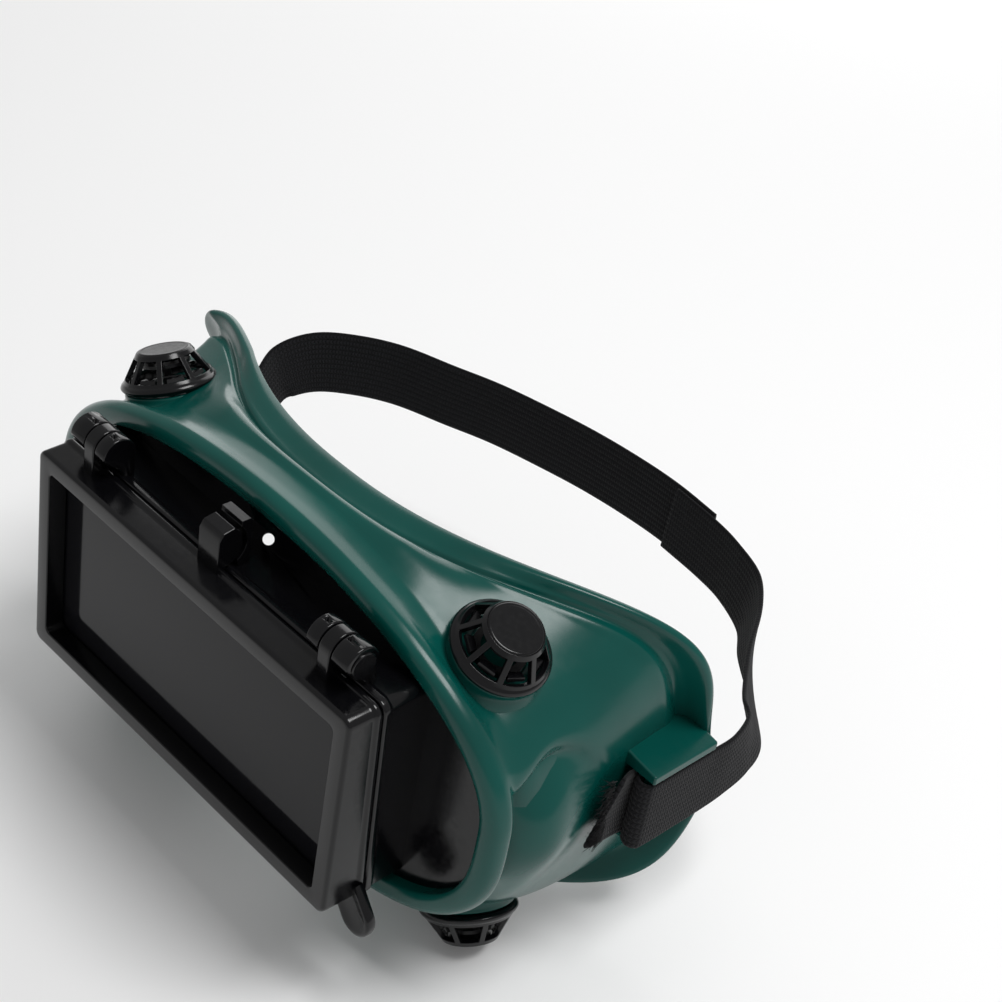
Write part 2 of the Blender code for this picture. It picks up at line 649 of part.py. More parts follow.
def build_headband():
    """The elastic headband: a short end and a long end, sewn together over a short overlap."""
    short = lug_wrap(1) + [(87.9, 96.0, -9.6), (86.4, 104.0, -8.4), (82.0, 110.5, -7.4),
                           (72.0, 121.0, -5.6), (62.0, 132.0, -3.8), (54.5, 139.6, -2.6),
                           (44.0, 143.6, -1.4), (34.0, 145.2, -0.6), (20.0, 146.2, 0.0)]
    gap = STRAP_T + GAP
    long = lug_wrap(-1) + [(-88.6, 94.0, -5.5), (-89.2, 101.0, -0.8), (-86.0, 109.5, 1.6),
                           (-79.0, 118.0, 2.0), (-69.0, 126.6, 1.4), (-54.5, 133.7, 0.4),
                           (-40.3, 139.6, 0.0), (-20.5, 144.3, 0.0), (-6.5, 146.0 + gap * 0.4, 0.0),
                           (8.0, 146.4 + gap * 0.9, 0.0), (20.0, 146.2 + gap, 0.0),
                           (33.0, 145.3 + gap, -0.5)]
    finish_object("headband_short", band_mesh("headband_short", band_points(short, 80)), "webbing")
    finish_object("headband_long", band_mesh("headband_long", band_points(long, 104)), "webbing")


def set_origin(name, point):
    """Move an object's origin to a point without moving its mesh."""
    ob = bpy.data.objects[name]
    ob.data.transform(Matrix.Translation(-point))
    ob.location = point


def main():
    """Build every piece of the goggles."""
    clear_scene()
    build_mask()
    build_fixed_frame()
    build_flip_frame()
    build_lenses()
    build_hinge_pins()
    build_vents()
    build_headband()
    for name in ("flip_frame", "filter_lens", "filter_retainer"):
        set_origin(name, at(0.0, HINGE_DEPTH, HINGE_Z))


main()
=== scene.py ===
"""Flip-front welding goggles: the finished pieces, their materials, and the studio.

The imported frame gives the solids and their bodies.  Every shape here is worked out in
millimetres as (x, depth, z), where depth runs backwards from the flat front rim of the
flip-up front, and is then turned into metres in the frame's own axes.
"""
from __future__ import annotations

import logging
import math
from dataclasses import dataclass, field
from enum import Enum
from typing import Sequence

import bmesh
import bpy
import numpy as np
from mathutils import Matrix, Vector

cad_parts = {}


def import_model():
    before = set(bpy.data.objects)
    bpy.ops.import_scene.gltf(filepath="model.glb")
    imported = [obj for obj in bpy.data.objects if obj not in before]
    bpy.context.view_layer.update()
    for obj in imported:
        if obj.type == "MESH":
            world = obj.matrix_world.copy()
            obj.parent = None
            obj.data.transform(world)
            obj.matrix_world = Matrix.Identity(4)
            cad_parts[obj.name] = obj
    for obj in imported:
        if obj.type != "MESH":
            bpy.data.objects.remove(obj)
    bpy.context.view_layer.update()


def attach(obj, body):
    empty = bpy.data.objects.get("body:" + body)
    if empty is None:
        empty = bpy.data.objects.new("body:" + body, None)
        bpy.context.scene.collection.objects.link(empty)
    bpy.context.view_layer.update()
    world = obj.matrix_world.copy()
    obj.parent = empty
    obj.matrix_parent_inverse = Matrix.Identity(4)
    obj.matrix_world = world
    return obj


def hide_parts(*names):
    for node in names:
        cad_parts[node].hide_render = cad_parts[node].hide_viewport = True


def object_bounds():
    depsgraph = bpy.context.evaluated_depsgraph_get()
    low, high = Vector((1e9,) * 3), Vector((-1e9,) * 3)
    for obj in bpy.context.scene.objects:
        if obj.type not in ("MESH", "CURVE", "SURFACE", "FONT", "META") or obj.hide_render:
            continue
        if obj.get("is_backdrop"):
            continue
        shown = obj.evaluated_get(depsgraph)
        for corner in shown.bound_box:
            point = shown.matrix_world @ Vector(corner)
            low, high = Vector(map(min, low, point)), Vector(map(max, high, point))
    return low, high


log = logging.getLogger("goggles")

Array = np.ndarray

MM = 0.001
FACE_DEPTH = 70.0  # front rim to the middle of the face opening
SIDES = {"left": 1.0, "right": -1.0}


class Body(Enum):
    """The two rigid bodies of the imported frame."""

    MASK = "mask"
    FLIP = "flip_front"


class Slot(Enum):
    """Names of the record's material slots."""

    VINYL = "soft_mask"
    GLOSS = "black_frame"
    WEBBING = "webbing"


# ---------------------------------------------------------------- colour and materials


def linear(code: str) -> tuple[float, float, float, float]:
    """Turn an sRGB hex colour into linear RGBA.

    Args:
        code: the colour as "#rrggbb".

    Returns:
        Linear red, green, blue and an alpha of one.
    """
    parts = [int(code[i : i + 2], 16) / 255.0 for i in (1, 3, 5)]
    flat = [c / 12.92 if c <= 0.04045 else ((c + 0.055) / 1.055) ** 2.4 for c in parts]
    return (flat[0], flat[1], flat[2], 1.0)


def add(
    tree: bpy.types.NodeTree,
    kind: str,
    settings: dict[str, object] | None = None,
    links: dict[str | int, bpy.types.NodeSocket] | None = None,
) -> bpy.types.Node:
    """Add one shader node with its settings and its incoming links.

    Args:
        tree: the material's node tree.
        kind: the node's Blender type name.
        settings: a property of the node, or the default of a socket, by name.
        links: the output that feeds each input, by input name or number.

    Returns:
        The new node.
    """
    node = tree.nodes.new(kind)
    for key, value in (settings or {}).items():
        if key in node.inputs:
            node.inputs[key].default_value = value
        else:
            setattr(node, key, value)
    for target, output in (links or {}).items():
        tree.links.new(output, node.inputs[target])
    return node


@dataclass(frozen=True)
class Finish:
    """What every finish shares: a name, a Principled shader and Object coordinates."""

    name: str = "plain"
    ior: float = 1.5
    metallic: float = 0.0

    def start(self) -> tuple[bpy.types.Material, bpy.types.NodeTree, bpy.types.Node]:
        """Make an empty material with its Principled shader.

        Returns:
            The material, its node tree and the shader node.
        """
        mat = bpy.data.materials.new(self.name)
        mat.use_nodes = True
        tree = mat.node_tree
        shader = tree.nodes["Principled BSDF"]
        shader.inputs["IOR"].default_value = self.ior
        shader.inputs["Metallic"].default_value = self.metallic
        return mat, tree, shader

    def noise(
        self, tree: bpy.types.NodeTree, size_mm: float, detail: float = 2.0, uv: bool = False
    ) -> bpy.types.Node:
        """Add a noise pattern whose features are about size_mm across.

        Args:
            tree: the material's node tree.
            size_mm: real size of one feature in millimetres.
            detail: how many finer layers the noise has.
            uv: read the piece's own UV map instead of Object coordinates.

        Returns:
            The noise node.
        """
        coords = add(tree, "ShaderNodeTexCoord")
        source = coords.outputs["UV" if uv else "Object"]
        return add(
            tree,
            "ShaderNodeTexNoise",
            {"Scale": 1000.0 / size_mm, "Detail": detail},
            {"Vector": source},
        )

    def spread(
        self, tree: bpy.types.NodeTree, value: bpy.types.NodeSocket, low: float, high: float
    ) -> bpy.types.NodeSocket:
        """Map a noise value onto a range.

        Args:
            tree: the material's node tree.
            value: the noise output.
            low: what a value of 0.3 becomes.
            high: what a value of 0.7 becomes.

        Returns:
            The mapped output.
        """
        node = add(
            tree,
            "ShaderNodeMapRange",
            {"From Min": 0.3, "From Max": 0.7, "To Min": low, "To Max": high},
            {"Value": value},
        )
        return node.outputs["Result"]

    def mottle(
        self, tree: bpy.types.NodeTree, value: bpy.types.NodeSocket, low: str, high: str
    ) -> bpy.types.NodeSocket:
        """Blend two colours by a noise value.

        Args:
            tree: the material's node tree.
            value: the noise output.
            low: colour at the noise's low end.
            high: colour at the noise's high end.

        Returns:
            The colour output.
        """
        ramp = add(tree, "ShaderNodeValToRGB", links={"Fac": value})
        ramp.color_ramp.elements[0].position = 0.3
        ramp.color_ramp.elements[0].color = linear(low)
        ramp.color_ramp.elements[1].position = 0.7
        ramp.color_ramp.elements[1].color = linear(high)
        return ramp.outputs["Color"]

    def relief(
        self,
        tree: bpy.types.NodeTree,
        height: bpy.types.NodeSocket,
        depth_mm: float,
        strength: float,
        below: bpy.types.Node | None = None,
    ) -> bpy.types.Node:
        """Turn a height pattern into a bump of a real depth.

        Args:
            tree: the material's node tree.
            height: the pattern.
            depth_mm: how deep the pattern is in millimetres.
            strength: how much of the bump shows.
            below: another bump that this one lies on.

        Returns:
            The bump node.
        """
        links = {"Height": height}
        if below is not None:
            links["Normal"] = below.outputs["Normal"]
        settings = {"Distance": depth_mm * MM, "Strength": strength}
        return add(tree, "ShaderNodeBump", settings, links)


@dataclass(frozen=True)
class GlossPlastic(Finish):
    """Black ABS moulded against a polished tool: mirror gloss, faint sink and fine scuffs."""

    name: str = "black_abs_polished_mould"
    ior: float = 1.54
    shade: tuple[str, str] = ("#060608", "#0a0a0c")
    rough: tuple[float, float] = (0.13, 0.22)
    shine: float = 0.3
    drift_mm: float = 22.0  # patches of slightly lighter and darker plastic
    scuff_mm: float = 1.4
    scuff_detail: float = 5.0
    sink_mm: float = 16.0  # swimming of the reflections over sink marks
    grain_mm: float = 0.3
    grain_depth_mm: float = 0.006

    def build(self) -> bpy.types.Material:
        """Deep gloss whose reflections swim a little, with fine scuffing."""
        mat, tree, shader = self.start()
        shader.inputs["Specular IOR Level"].default_value = self.shine
        drift = self.noise(tree, self.drift_mm)
        colour = self.mottle(tree, drift.outputs["Fac"], *self.shade)
        tree.links.new(colour, shader.inputs["Base Color"])
        scuff = self.noise(tree, self.scuff_mm, self.scuff_detail)
        rough = self.spread(tree, scuff.outputs["Fac"], *self.rough)
        tree.links.new(rough, shader.inputs["Roughness"])
        sink = self.noise(tree, self.sink_mm, 1.0)
        base = self.relief(tree, sink.outputs["Fac"], 0.1, 0.3)
        grain = self.noise(tree, self.grain_mm)
        bump = self.relief(tree, grain.outputs["Fac"], self.grain_depth_mm, 0.3, base)
        tree.links.new(bump.outputs["Normal"], shader.inputs["Normal"])
        return mat


@dataclass(frozen=True)
class SoftVinyl(GlossPlastic):
    """Plasticised PVC, injection moulded and polished: deep green with a soft gloss."""

    name: str = "green_pvc_moulded"
    ior: float = 1.53
    shade: tuple[str, str] = ("#02403a", "#044c45")
    rough: tuple[float, float] = (0.19, 0.24)
    shine: float = 0.28
    drift_mm: float = 34.0
    scuff_mm: float = 2.6
    scuff_detail: float = 4.0
    sink_mm: float = 14.0
    grain_mm: float = 0.45
    grain_depth_mm: float = 0.005


@dataclass(frozen=True)
class FilterGlass(Finish):
    """Shade-5 welding filter: float glass so deeply tinted that it looks black, polished."""

    name: str = "dark_float_glass"
    ior: float = 1.52

    def build(self) -> bpy.types.Material:
        """A clean mirror-like skin over near-black glass, with a breath of dust."""
        mat, tree, shader = self.start()
        shader.inputs["Specular IOR Level"].default_value = 0.16
        dust = self.noise(tree, 0.7, 4.0)
        haze = self.mottle(tree, dust.outputs["Fac"], "#0c0c0f", "#121215")
        tree.links.new(haze, shader.inputs["Base Color"])
        film = self.noise(tree, 18.0, 3.0)
        rough = self.spread(tree, film.outputs["Fac"], 0.05, 0.11)
        tree.links.new(rough, shader.inputs["Roughness"])
        return mat


@dataclass(frozen=True)
class ClearPlate(Finish):
    """Clear polycarbonate cover plate: water-white, polished both sides."""

    name: str = "clear_polycarbonate_plate"
    ior: float = 1.58

    def build(self) -> bpy.types.Material:
        """Fully clear, with a very faint smear in its gloss."""
        mat, tree, shader = self.start()
        shader.inputs["Base Color"].default_value = linear("#eef4f3")
        shader.inputs["Transmission Weight"].default_value = 1.0
        smear = self.noise(tree, 12.0, 3.0)
        rough = self.spread(tree, smear.outputs["Fac"], 0.02, 0.06)
        tree.links.new(rough, shader.inputs["Roughness"])
        return mat


@dataclass(frozen=True)
class GasketRubber(Finish):
    """Die-cut nitrile rubber: matt, dense, slightly dusty."""

    name: str = "nitrile_gasket_die_cut"
    ior: float = 1.52

    def build(self) -> bpy.types.Material:
        """Matt black with a fine talc bloom."""
        mat, tree, shader = self.start()
        bloom = self.noise(tree, 1.8, 4.0)
        colour = self.mottle(tree, bloom.outputs["Fac"], "#161616", "#242424")
        tree.links.new(colour, shader.inputs["Base Color"])
        shader.inputs["Roughness"].default_value = 0.75
        bump = self.relief(tree, bloom.outputs["Fac"], 0.03, 0.4)
        tree.links.new(bump.outputs["Normal"], shader.inputs["Normal"])
        return mat


@dataclass(frozen=True)
class DrawnSteel(Finish):
    """Drawn steel pin wire: bright, with fine die lines along its length."""

    name: str = "steel_drawn_wire"
    metallic: float = 1.0

    def build(self) -> bpy.types.Material:
        """Bright steel streaked along X by the drawing die."""
        mat, tree, shader = self.start()
        shader.inputs["Base Color"].default_value = linear("#b9b8b4")
        coords = add(tree, "ShaderNodeTexCoord")
        stretch = add(
            tree, "ShaderNodeMapping", {"Scale": (0.05, 1.0, 1.0)},
            {"Vector": coords.outputs["Object"]},
        )
        lines = add(
            tree, "ShaderNodeTexNoise", {"Scale": 6000.0, "Detail": 2.0},
            {"Vector": stretch.outputs["Vector"]},
        )
        rough = self.spread(tree, lines.outputs["Fac"], 0.22, 0.38)
        tree.links.new(rough, shader.inputs["Roughness"])
        return mat


@dataclass(frozen=True)
class ElasticWebbing(Finish):
    """Woven elastic: polyester yarn over rubber cores, in courses along the band.

    The UV map is in metres: U runs along the band and V across it.
    """

    name: str = "elastic_webbing_woven"
    ior: float = 1.5
    course_mm: float = 1.6  # spacing of the long courses across the band
    pick_mm: float = 0.9  # spacing of the weft picks, drawn as coarse as they show

    def build(self) -> bpy.types.Material:
        """Matt charcoal weave: long courses crossed by small slanting stitches."""
        mat, tree, shader = self.start()
        shader.inputs["Sheen Weight"].default_value = 0.05
        shader.inputs["Sheen Roughness"].default_value = 0.5
        shader.inputs["Specular IOR Level"].default_value = 0.2
        shader.inputs["Roughness"].default_value = 0.9
        coords = add(tree, "ShaderNodeTexCoord")
        split = add(tree, "ShaderNodeSeparateXYZ", links={"Vector": coords.outputs["UV"]})
        course = self.wave(tree, split.outputs["Y"], self.course_mm, None)
        lean = add(
            tree, "ShaderNodeMath", {"operation": "MULTIPLY"}, {0: course.outputs["Value"]}
        )
        lean.inputs[1].default_value = 2.2
        pick = self.wave(tree, split.outputs["X"], self.pick_mm, lean.outputs["Value"])
        weave = add(
            tree, "ShaderNodeMath", {"operation": "MULTIPLY"},
            {0: course.outputs["Value"], 1: pick.outputs["Value"]},
        )
        fluff = self.noise(tree, 0.5, 4.0, uv=True)
        mixed = add(
            tree, "ShaderNodeMath", {"operation": "MULTIPLY_ADD"},
            {0: fluff.outputs["Fac"], 2: weave.outputs["Value"]},
        )
        mixed.inputs[1].default_value = 0.35
        ramp = add(tree, "ShaderNodeValToRGB", links={"Fac": mixed.outputs["Value"]})
        ramp.color_ramp.elements[0].position = 0.1
        ramp.color_ramp.elements[0].color = linear("#050506")
        ramp.color_ramp.elements[1].position = 0.95
        ramp.color_ramp.elements[1].color = linear("#1b1b1e")
        tree.links.new(ramp.outputs["Color"], shader.inputs["Base Color"])
        bump = self.relief(tree, mixed.outputs["Value"], 0.25, 0.7)
        tree.links.new(bump.outputs["Normal"], shader.inputs["Normal"])
        return mat

    def wave(
        self,
        tree: bpy.types.NodeTree,
        along: bpy.types.NodeSocket,
        pitch_mm: float,
        shift: bpy.types.NodeSocket | None,
    ) -> bpy.types.Node:
        """Half-wave ridges of a real pitch: the size of the sine of pi times distance/pitch.

        Args:
            tree: the material's node tree.
            along: distance in metres.
            pitch_mm: spacing of the ridges in millimetres.
            shift: phase added before the sine, or None.

        Returns:
            The node whose value is 0 between ridges and 1 on them.
        """
        phase = add(tree, "ShaderNodeMath", {"operation": "MULTIPLY"}, {0: along})
        phase.inputs[1].default_value = math.pi / (pitch_mm * MM)
        turned = phase
        if shift is not None:
            turned = add(
                tree, "ShaderNodeMath", {"operation": "ADD"},
                {0: phase.outputs["Value"], 1: shift},
            )
        sine = add(tree, "ShaderNodeMath", {"operation": "SINE"}, {0: turned.outputs["Value"]})
        return add(
            tree, "ShaderNodeMath", {"operation": "ABSOLUTE"}, {0: sine.outputs["Value"]}
        )


@dataclass(frozen=True)
class YarnFluff(Finish):
    """Loose polyester yarn ends: soft, dark, no gloss."""

    name: str = "polyester_yarn_ends"
    shade: tuple[str, str] = ("#070708", "#141416")

    def build(self) -> bpy.types.Material:
        """Dark matt fibre with a little light and dark from yarn to yarn."""
        mat, tree, shader = self.start()
        yarn = self.noise(tree, 0.8, 2.0)
        colour = self.mottle(tree, yarn.outputs["Fac"], *self.shade)
        tree.links.new(colour, shader.inputs["Base Color"])
        shader.inputs["Roughness"].default_value = 0.9
        shader.inputs["Sheen Weight"].default_value = 0.04
        shader.inputs["Specular IOR Level"].default_value = 0.2
        return mat


@dataclass(frozen=True)
class StudioFloor(Finish):
    """Pale seamless card under the goggles."""

    name: str = "pale_card"

    def build(self) -> bpy.types.Material:
        """Nearly white, fully matt."""
        mat, tree, shader = self.start()
        shader.inputs["Base Color"].default_value = linear("#f4f4f4")
        shader.inputs["Roughness"].default_value = 0.95
        shader.inputs["Specular IOR Level"].default_value = 0.1
        return mat


class Paints:
    """Every material of the goggles, each built once."""

    def __init__(self) -> None:
        """Build the materials."""
        self.vinyl = SoftVinyl().build()
        self.gloss = GlossPlastic().build()
        self.satin = GlossPlastic(
            name="black_abs_satin_mould", shade=("#0a0a0c", "#101012"), rough=(0.32, 0.46)
        ).build()
        self.filter = FilterGlass().build()
        self.clear = ClearPlate().build()
        self.rubber = GasketRubber().build()
        self.steel = DrawnSteel().build()
        self.webbing = ElasticWebbing().build()
        self.yarn = YarnFluff().build()
        self.stitch = YarnFluff(
            name="polyester_sewing_thread", shade=("#1c1c1e", "#303033")
        ).build()
        self.floor = StudioFloor().build()


# ---------------------------------------------------------------- surfaces


def metres(points: Array) -> Array:
    """Turn (x, depth, z) in millimetres into frame coordinates in metres.

    Args:
        points: an array whose last axis is x, depth, z.

    Returns:
        The same shape, in metres, with depth counted from the face opening.
    """
    out = np.array(points, dtype=float)
    out[..., 1] -= FACE_DEPTH
    return out * MM


def grid_faces(rows: int, cols: int, close_rows: bool, close_cols: bool) -> Array:
    """Quads of a grid of vertices numbered row by row.

    Args:
        rows: number of rows.
        cols: number of columns.
        close_rows: join the last row to the first.
        close_cols: join the last column to the first.

    Returns:
        An (n, 4) array of vertex numbers.
    """
    i = np.arange(rows if close_rows else rows - 1)
    j = np.arange(cols if close_cols else cols - 1)
    i, j = (a.ravel() for a in np.meshgrid(i, j, indexing="ij"))
    k, m = (i + 1) % rows, (j + 1) % cols
    return np.stack([i * cols + j, i * cols + m, k * cols + m, k * cols + j], axis=1)


@dataclass
class Shell:
    """Vertices and faces gathered for one piece, from any number of surfaces."""

    verts: list[Array] = field(default_factory=list)
    faces: list[list[int]] = field(default_factory=list)
    uvs: list[Array] = field(default_factory=list)
    count: int = 0

    def grid(
        self,
        points: Array,
        close_rows: bool = False,
        close_cols: bool = True,
        caps: bool = False,
        uv: Array | None = None,
        keep: Array | None = None,
    ) -> None:
        """Add a surface given as a (rows, columns, 3) grid of points.

        Args:
            points: the grid, in metres.
            close_rows: join the last row to the first.
            close_cols: join the last column to the first.
            caps: close the first and last row with one face each.
            uv: a (rows, columns, 2) map, or None.
            keep: which quads stay, as one flag each, or None for all.
        """
        rows, cols = points.shape[:2]
        quads = grid_faces(rows, cols, close_rows, close_cols)
        if keep is not None:
            quads = quads[keep.ravel()]
        self.verts.append(points.reshape(-1, 3))
        flat = np.zeros((rows * cols, 2)) if uv is None else uv.reshape(-1, 2)
        self.uvs.append(flat)
        self.faces.extend((quads + self.count).tolist())
        if caps:
            first = np.arange(cols) + self.count
            self.faces.append(first[::-1].tolist())
            self.faces.append((first + (rows - 1) * cols).tolist())
        self.count += rows * cols

    def build(
        self, name: str, paint: bpy.types.Material, sharp: float | None = 35.0, tidy: bool = True
    ) -> bpy.types.Object:
        """Make the object, with its faces turned outwards.

        Args:
            name: the piece's name.
            paint: its material.
            sharp: edges steeper than this many degrees stay sharp, or None for all smooth.
            tidy: merge doubles and turn the faces outwards.

        Returns:
            The new object, at the origin.
        """
        mesh = bpy.data.meshes.new(name)
        verts = np.concatenate(self.verts)
        mesh.from_pydata(verts.tolist(), [], self.faces)
        layer = mesh.uv_layers.new(name="UVMap")
        loops = np.empty(len(mesh.loops), dtype=np.int32)
        mesh.loops.foreach_get("vertex_index", loops)
        layer.data.foreach_set("uv", np.concatenate(self.uvs)[loops].ravel())
        mesh.materials.append(paint)
        if tidy:
            outward(mesh)
        mesh.shade_smooth()
        if sharp is not None:
            mesh.set_sharp_from_angle(angle=math.radians(sharp))
        ob = bpy.data.objects.new(name, mesh)
        bpy.context.scene.collection.objects.link(ob)
        return ob


def outward(mesh: bpy.types.Mesh) -> None:
    """Merge doubles and turn every face of a closed mesh outwards."""
    work = bmesh.new()
    work.from_mesh(mesh)
    bmesh.ops.remove_doubles(work, verts=work.verts, dist=1e-7)
    bmesh.ops.recalc_face_normals(work, faces=work.faces)
    work.to_mesh(mesh)
    work.free()


def fillet(
    outline: Sequence[tuple[float, float, float]], steps: int = 5, closed: bool = True
) -> Array:
    """Round the corners of an outline with quadratic arcs.

    At each corner the outline leaves its side one radius before the corner and joins the
    next side one radius after it, along the parabola that is tangent to both.

    Args:
        outline: corners as (a, b, radius).
        steps: points on each rounded corner.
        closed: whether the last corner joins the first.

    Returns:
        An (n, 2) array of points.
    """
    data = np.array(outline, dtype=float)
    count = len(data)
    points = []
    for i, (a, b, radius) in enumerate(data):
        here = np.array((a, b))
        if radius <= 0 or (not closed and i in (0, count - 1)):
            points.append(here[None])
            continue
        before, after = data[i - 1, :2] - here, data[(i + 1) % count, :2] - here
        reach_in = min(radius, 0.45 * np.linalg.norm(before))
        reach_out = min(radius, 0.45 * np.linalg.norm(after))
        start = here + before / np.linalg.norm(before) * reach_in
        end = here + after / np.linalg.norm(after) * reach_out
        t = np.linspace(0, 1, steps)[:, None]
        points.append((1 - t) ** 2 * start + 2 * t * (1 - t) * here + t**2 * end)
    return np.concatenate(points)


def smooth_rows(rows: Array, steps: Sequence[int]) -> Array:
    """Fill in a closed stack of loops along smooth curves through them.

    Each column is a closed centripetal Catmull-Rom curve through its points.

    Args:
        rows: (n, m, 3) loops, the last followed by the first.
        steps: how many rows each gap becomes.

    Returns:
        The denser stack.
    """
    count = len(rows)
    out = []
    for i in range(count):
        a, b, c, d = (rows[(i + k) % count] for k in (-1, 0, 1, 2))
        knots = [np.zeros(rows.shape[1])]
        for p, q in ((a, b), (b, c), (c, d)):
            knots.append(knots[-1] + np.sqrt(np.linalg.norm(q - p, axis=1)) + 1e-6)
        t0, t1, t2, t3 = (k[:, None] for k in knots)
        for s in np.arange(steps[i]) / steps[i]:
            t = t1 + (t2 - t1) * s
            a1 = (t1 - t) / (t1 - t0) * a + (t - t0) / (t1 - t0) * b
            a2 = (t2 - t) / (t2 - t1) * b + (t - t1) / (t2 - t1) * c
            a3 = (t3 - t) / (t3 - t2) * c + (t - t2) / (t3 - t2) * d
            b1 = (t2 - t) / (t2 - t0) * a1 + (t - t0) / (t2 - t0) * a2
            b2 = (t3 - t) / (t3 - t1) * a2 + (t - t1) / (t3 - t1) * a3
            out.append((t2 - t) / (t2 - t1) * b1 + (t - t1) / (t2 - t1) * b2)
    return np.stack(out)


def smooth_line(points: Array, steps: int) -> Array:
    """A Catmull-Rom curve through points.

    Args:
        points: (n, k) points.
        steps: how many pieces each gap becomes.

    Returns:
        The denser line, with both ends kept.
    """
    padded = np.vstack([2 * points[0] - points[1], points, 2 * points[-1] - points[-2]])
    t = np.linspace(0, 1, steps, endpoint=False)[None, :, None]
    a, b, c, d = (padded[k : len(padded) - 3 + k][:, None, :] for k in range(4))
    curve = 0.5 * (2 * b + (c - a) * t + (2 * a - 5 * b + 4 * c - d) * t**2
                   + (3 * b - a - 3 * c + d) * t**3)
    return np.vstack([curve.reshape(-1, points.shape[1]), points[-1]])


def turned(profile: Array, count: int) -> Array:
    """A surface of revolution about Z: each profile point carried round a circle.

    Args:
        profile: (n, 2) radius and height.
        count: points round the circle.

    Returns:
        A (count, n, 3) grid.
    """
    angle = np.linspace(0, 2 * np.pi, count, endpoint=False)[:, None]
    radius, height = profile[:, 0][None], profile[:, 1][None]
    return np.stack(
        [radius * np.cos(angle), radius * np.sin(angle), height + 0 * angle], axis=-1
    )


def moved(points: Array, matrix: Matrix) -> Array:
    """Apply a 4 x 4 matrix to an array of points."""
    m = np.array(matrix)
    return points @ m[:3, :3].T + m[:3, 3]


def superellipse(
    half_w: float, top: float, bottom: float, powers: tuple[float, float], count: int
) -> tuple[Array, Array]:
    """An oval whose upper and lower halves have their own height and squareness.

    A point lies in direction t at reach (|cos t|^p + |sin t|^p)^(-1/p).

    Args:
        half_w: half width.
        top: height of the upper half.
        bottom: height of the lower half.
        powers: squareness of the upper and the lower half.
        count: number of points.

    Returns:
        Their x and their z.
    """
    t = np.linspace(0.0, 2 * np.pi, count, endpoint=False)
    c, s = np.cos(t), np.sin(t)
    power = np.where(s >= 0, powers[0], powers[1])
    height = np.where(s >= 0, top, bottom)
    reach = (np.abs(c) ** power + np.abs(s) ** power) ** (-1 / power)
    return half_w * c * reach, height * s * reach


def rounded_rectangle(half_w: float, half_h: float, radius: float, steps: int) -> Array:
    """Points (x, z) round a rectangle with circular corners.

    Args:
        half_w: half width.
        half_h: half height.
        radius: corner radius.
        steps: points on each corner.

    Returns:
        An (n, 2) array.
    """
    points = []
    for quarter, (sx, sz) in enumerate(((1, 1), (-1, 1), (-1, -1), (1, -1))):
        angle = np.radians(90 * quarter + np.linspace(0, 90, steps))
        centre = np.array((sx * (half_w - radius), sz * (half_h - radius)))
        points.append(centre + radius * np.stack([np.cos(angle), np.sin(angle)], axis=1))
    return np.concatenate(points)


def soften(ob: bpy.types.Object, width_mm: float, segments: int = 3) -> None:
    """Round a moulded piece's sharp edges with a Bevel modifier.

    Args:
        ob: the piece.
        width_mm: bevel width in millimetres.
        segments: how many facets the rounding has.
    """
    mod = ob.modifiers.new("edge_radius", "BEVEL")
    mod.width = width_mm * MM
    mod.segments = segments
    mod.limit_method = "ANGLE"
    mod.angle_limit = math.radians(34)
    mod.harden_normals = True


def applied(ob: bpy.types.Object) -> None:
    """Replace an object's mesh by what its modifiers make of it."""
    graph = bpy.context.evaluated_depsgraph_get()
    graph.update()
    ob.data = bpy.data.meshes.new_from_object(ob.evaluated_get(graph))
    ob.modifiers.clear()


def cut(ob: bpy.types.Object, tool: bpy.types.Object, sharp: float) -> None:
    """Cut a solid tool out of a piece and remove it.

    Args:
        ob: the piece.
        tool: the solid to take away.
        sharp: edges steeper than this many degrees stay sharp.
    """
    mod = ob.modifiers.new("cut", "BOOLEAN")
    mod.operation = "DIFFERENCE"
    mod.solver = "EXACT"
    mod.object = tool
    applied(ob)
    bpy.data.objects.remove(tool)
    ob.data.shade_smooth()
    ob.data.set_sharp_from_angle(angle=math.radians(sharp))


def joined(name: str, parts: Sequence[bpy.types.Object]) -> bpy.types.Object:
    """Join parts of one moulding into one piece.

    Args:
        name: the piece's name.
        parts: the objects to join; the first keeps its place.

    Returns:
        The joined object.
    """
    with bpy.context.temp_override(
        active_object=parts[0], selected_editable_objects=list(parts), selected_objects=list(parts)
    ):
        bpy.ops.object.join()
    parts[0].name = name
    parts[0].data.name = name
    return parts[0]


def belongs(ob: bpy.types.Object, body: Body, slot: Slot, *nodes: str) -> bpy.types.Object:
    """Tie a finished piece to its body and hide the nodes it stands for.

    Args:
        ob: the piece.
        body: the body it rides on.
        slot: not used.
        nodes: CAD nodes it replaces.

    Returns:
        The piece.
    """
    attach(ob, body.value)
    if nodes:
        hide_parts(*nodes)
    return ob


# ---------------------------------------------------------------- the soft mask


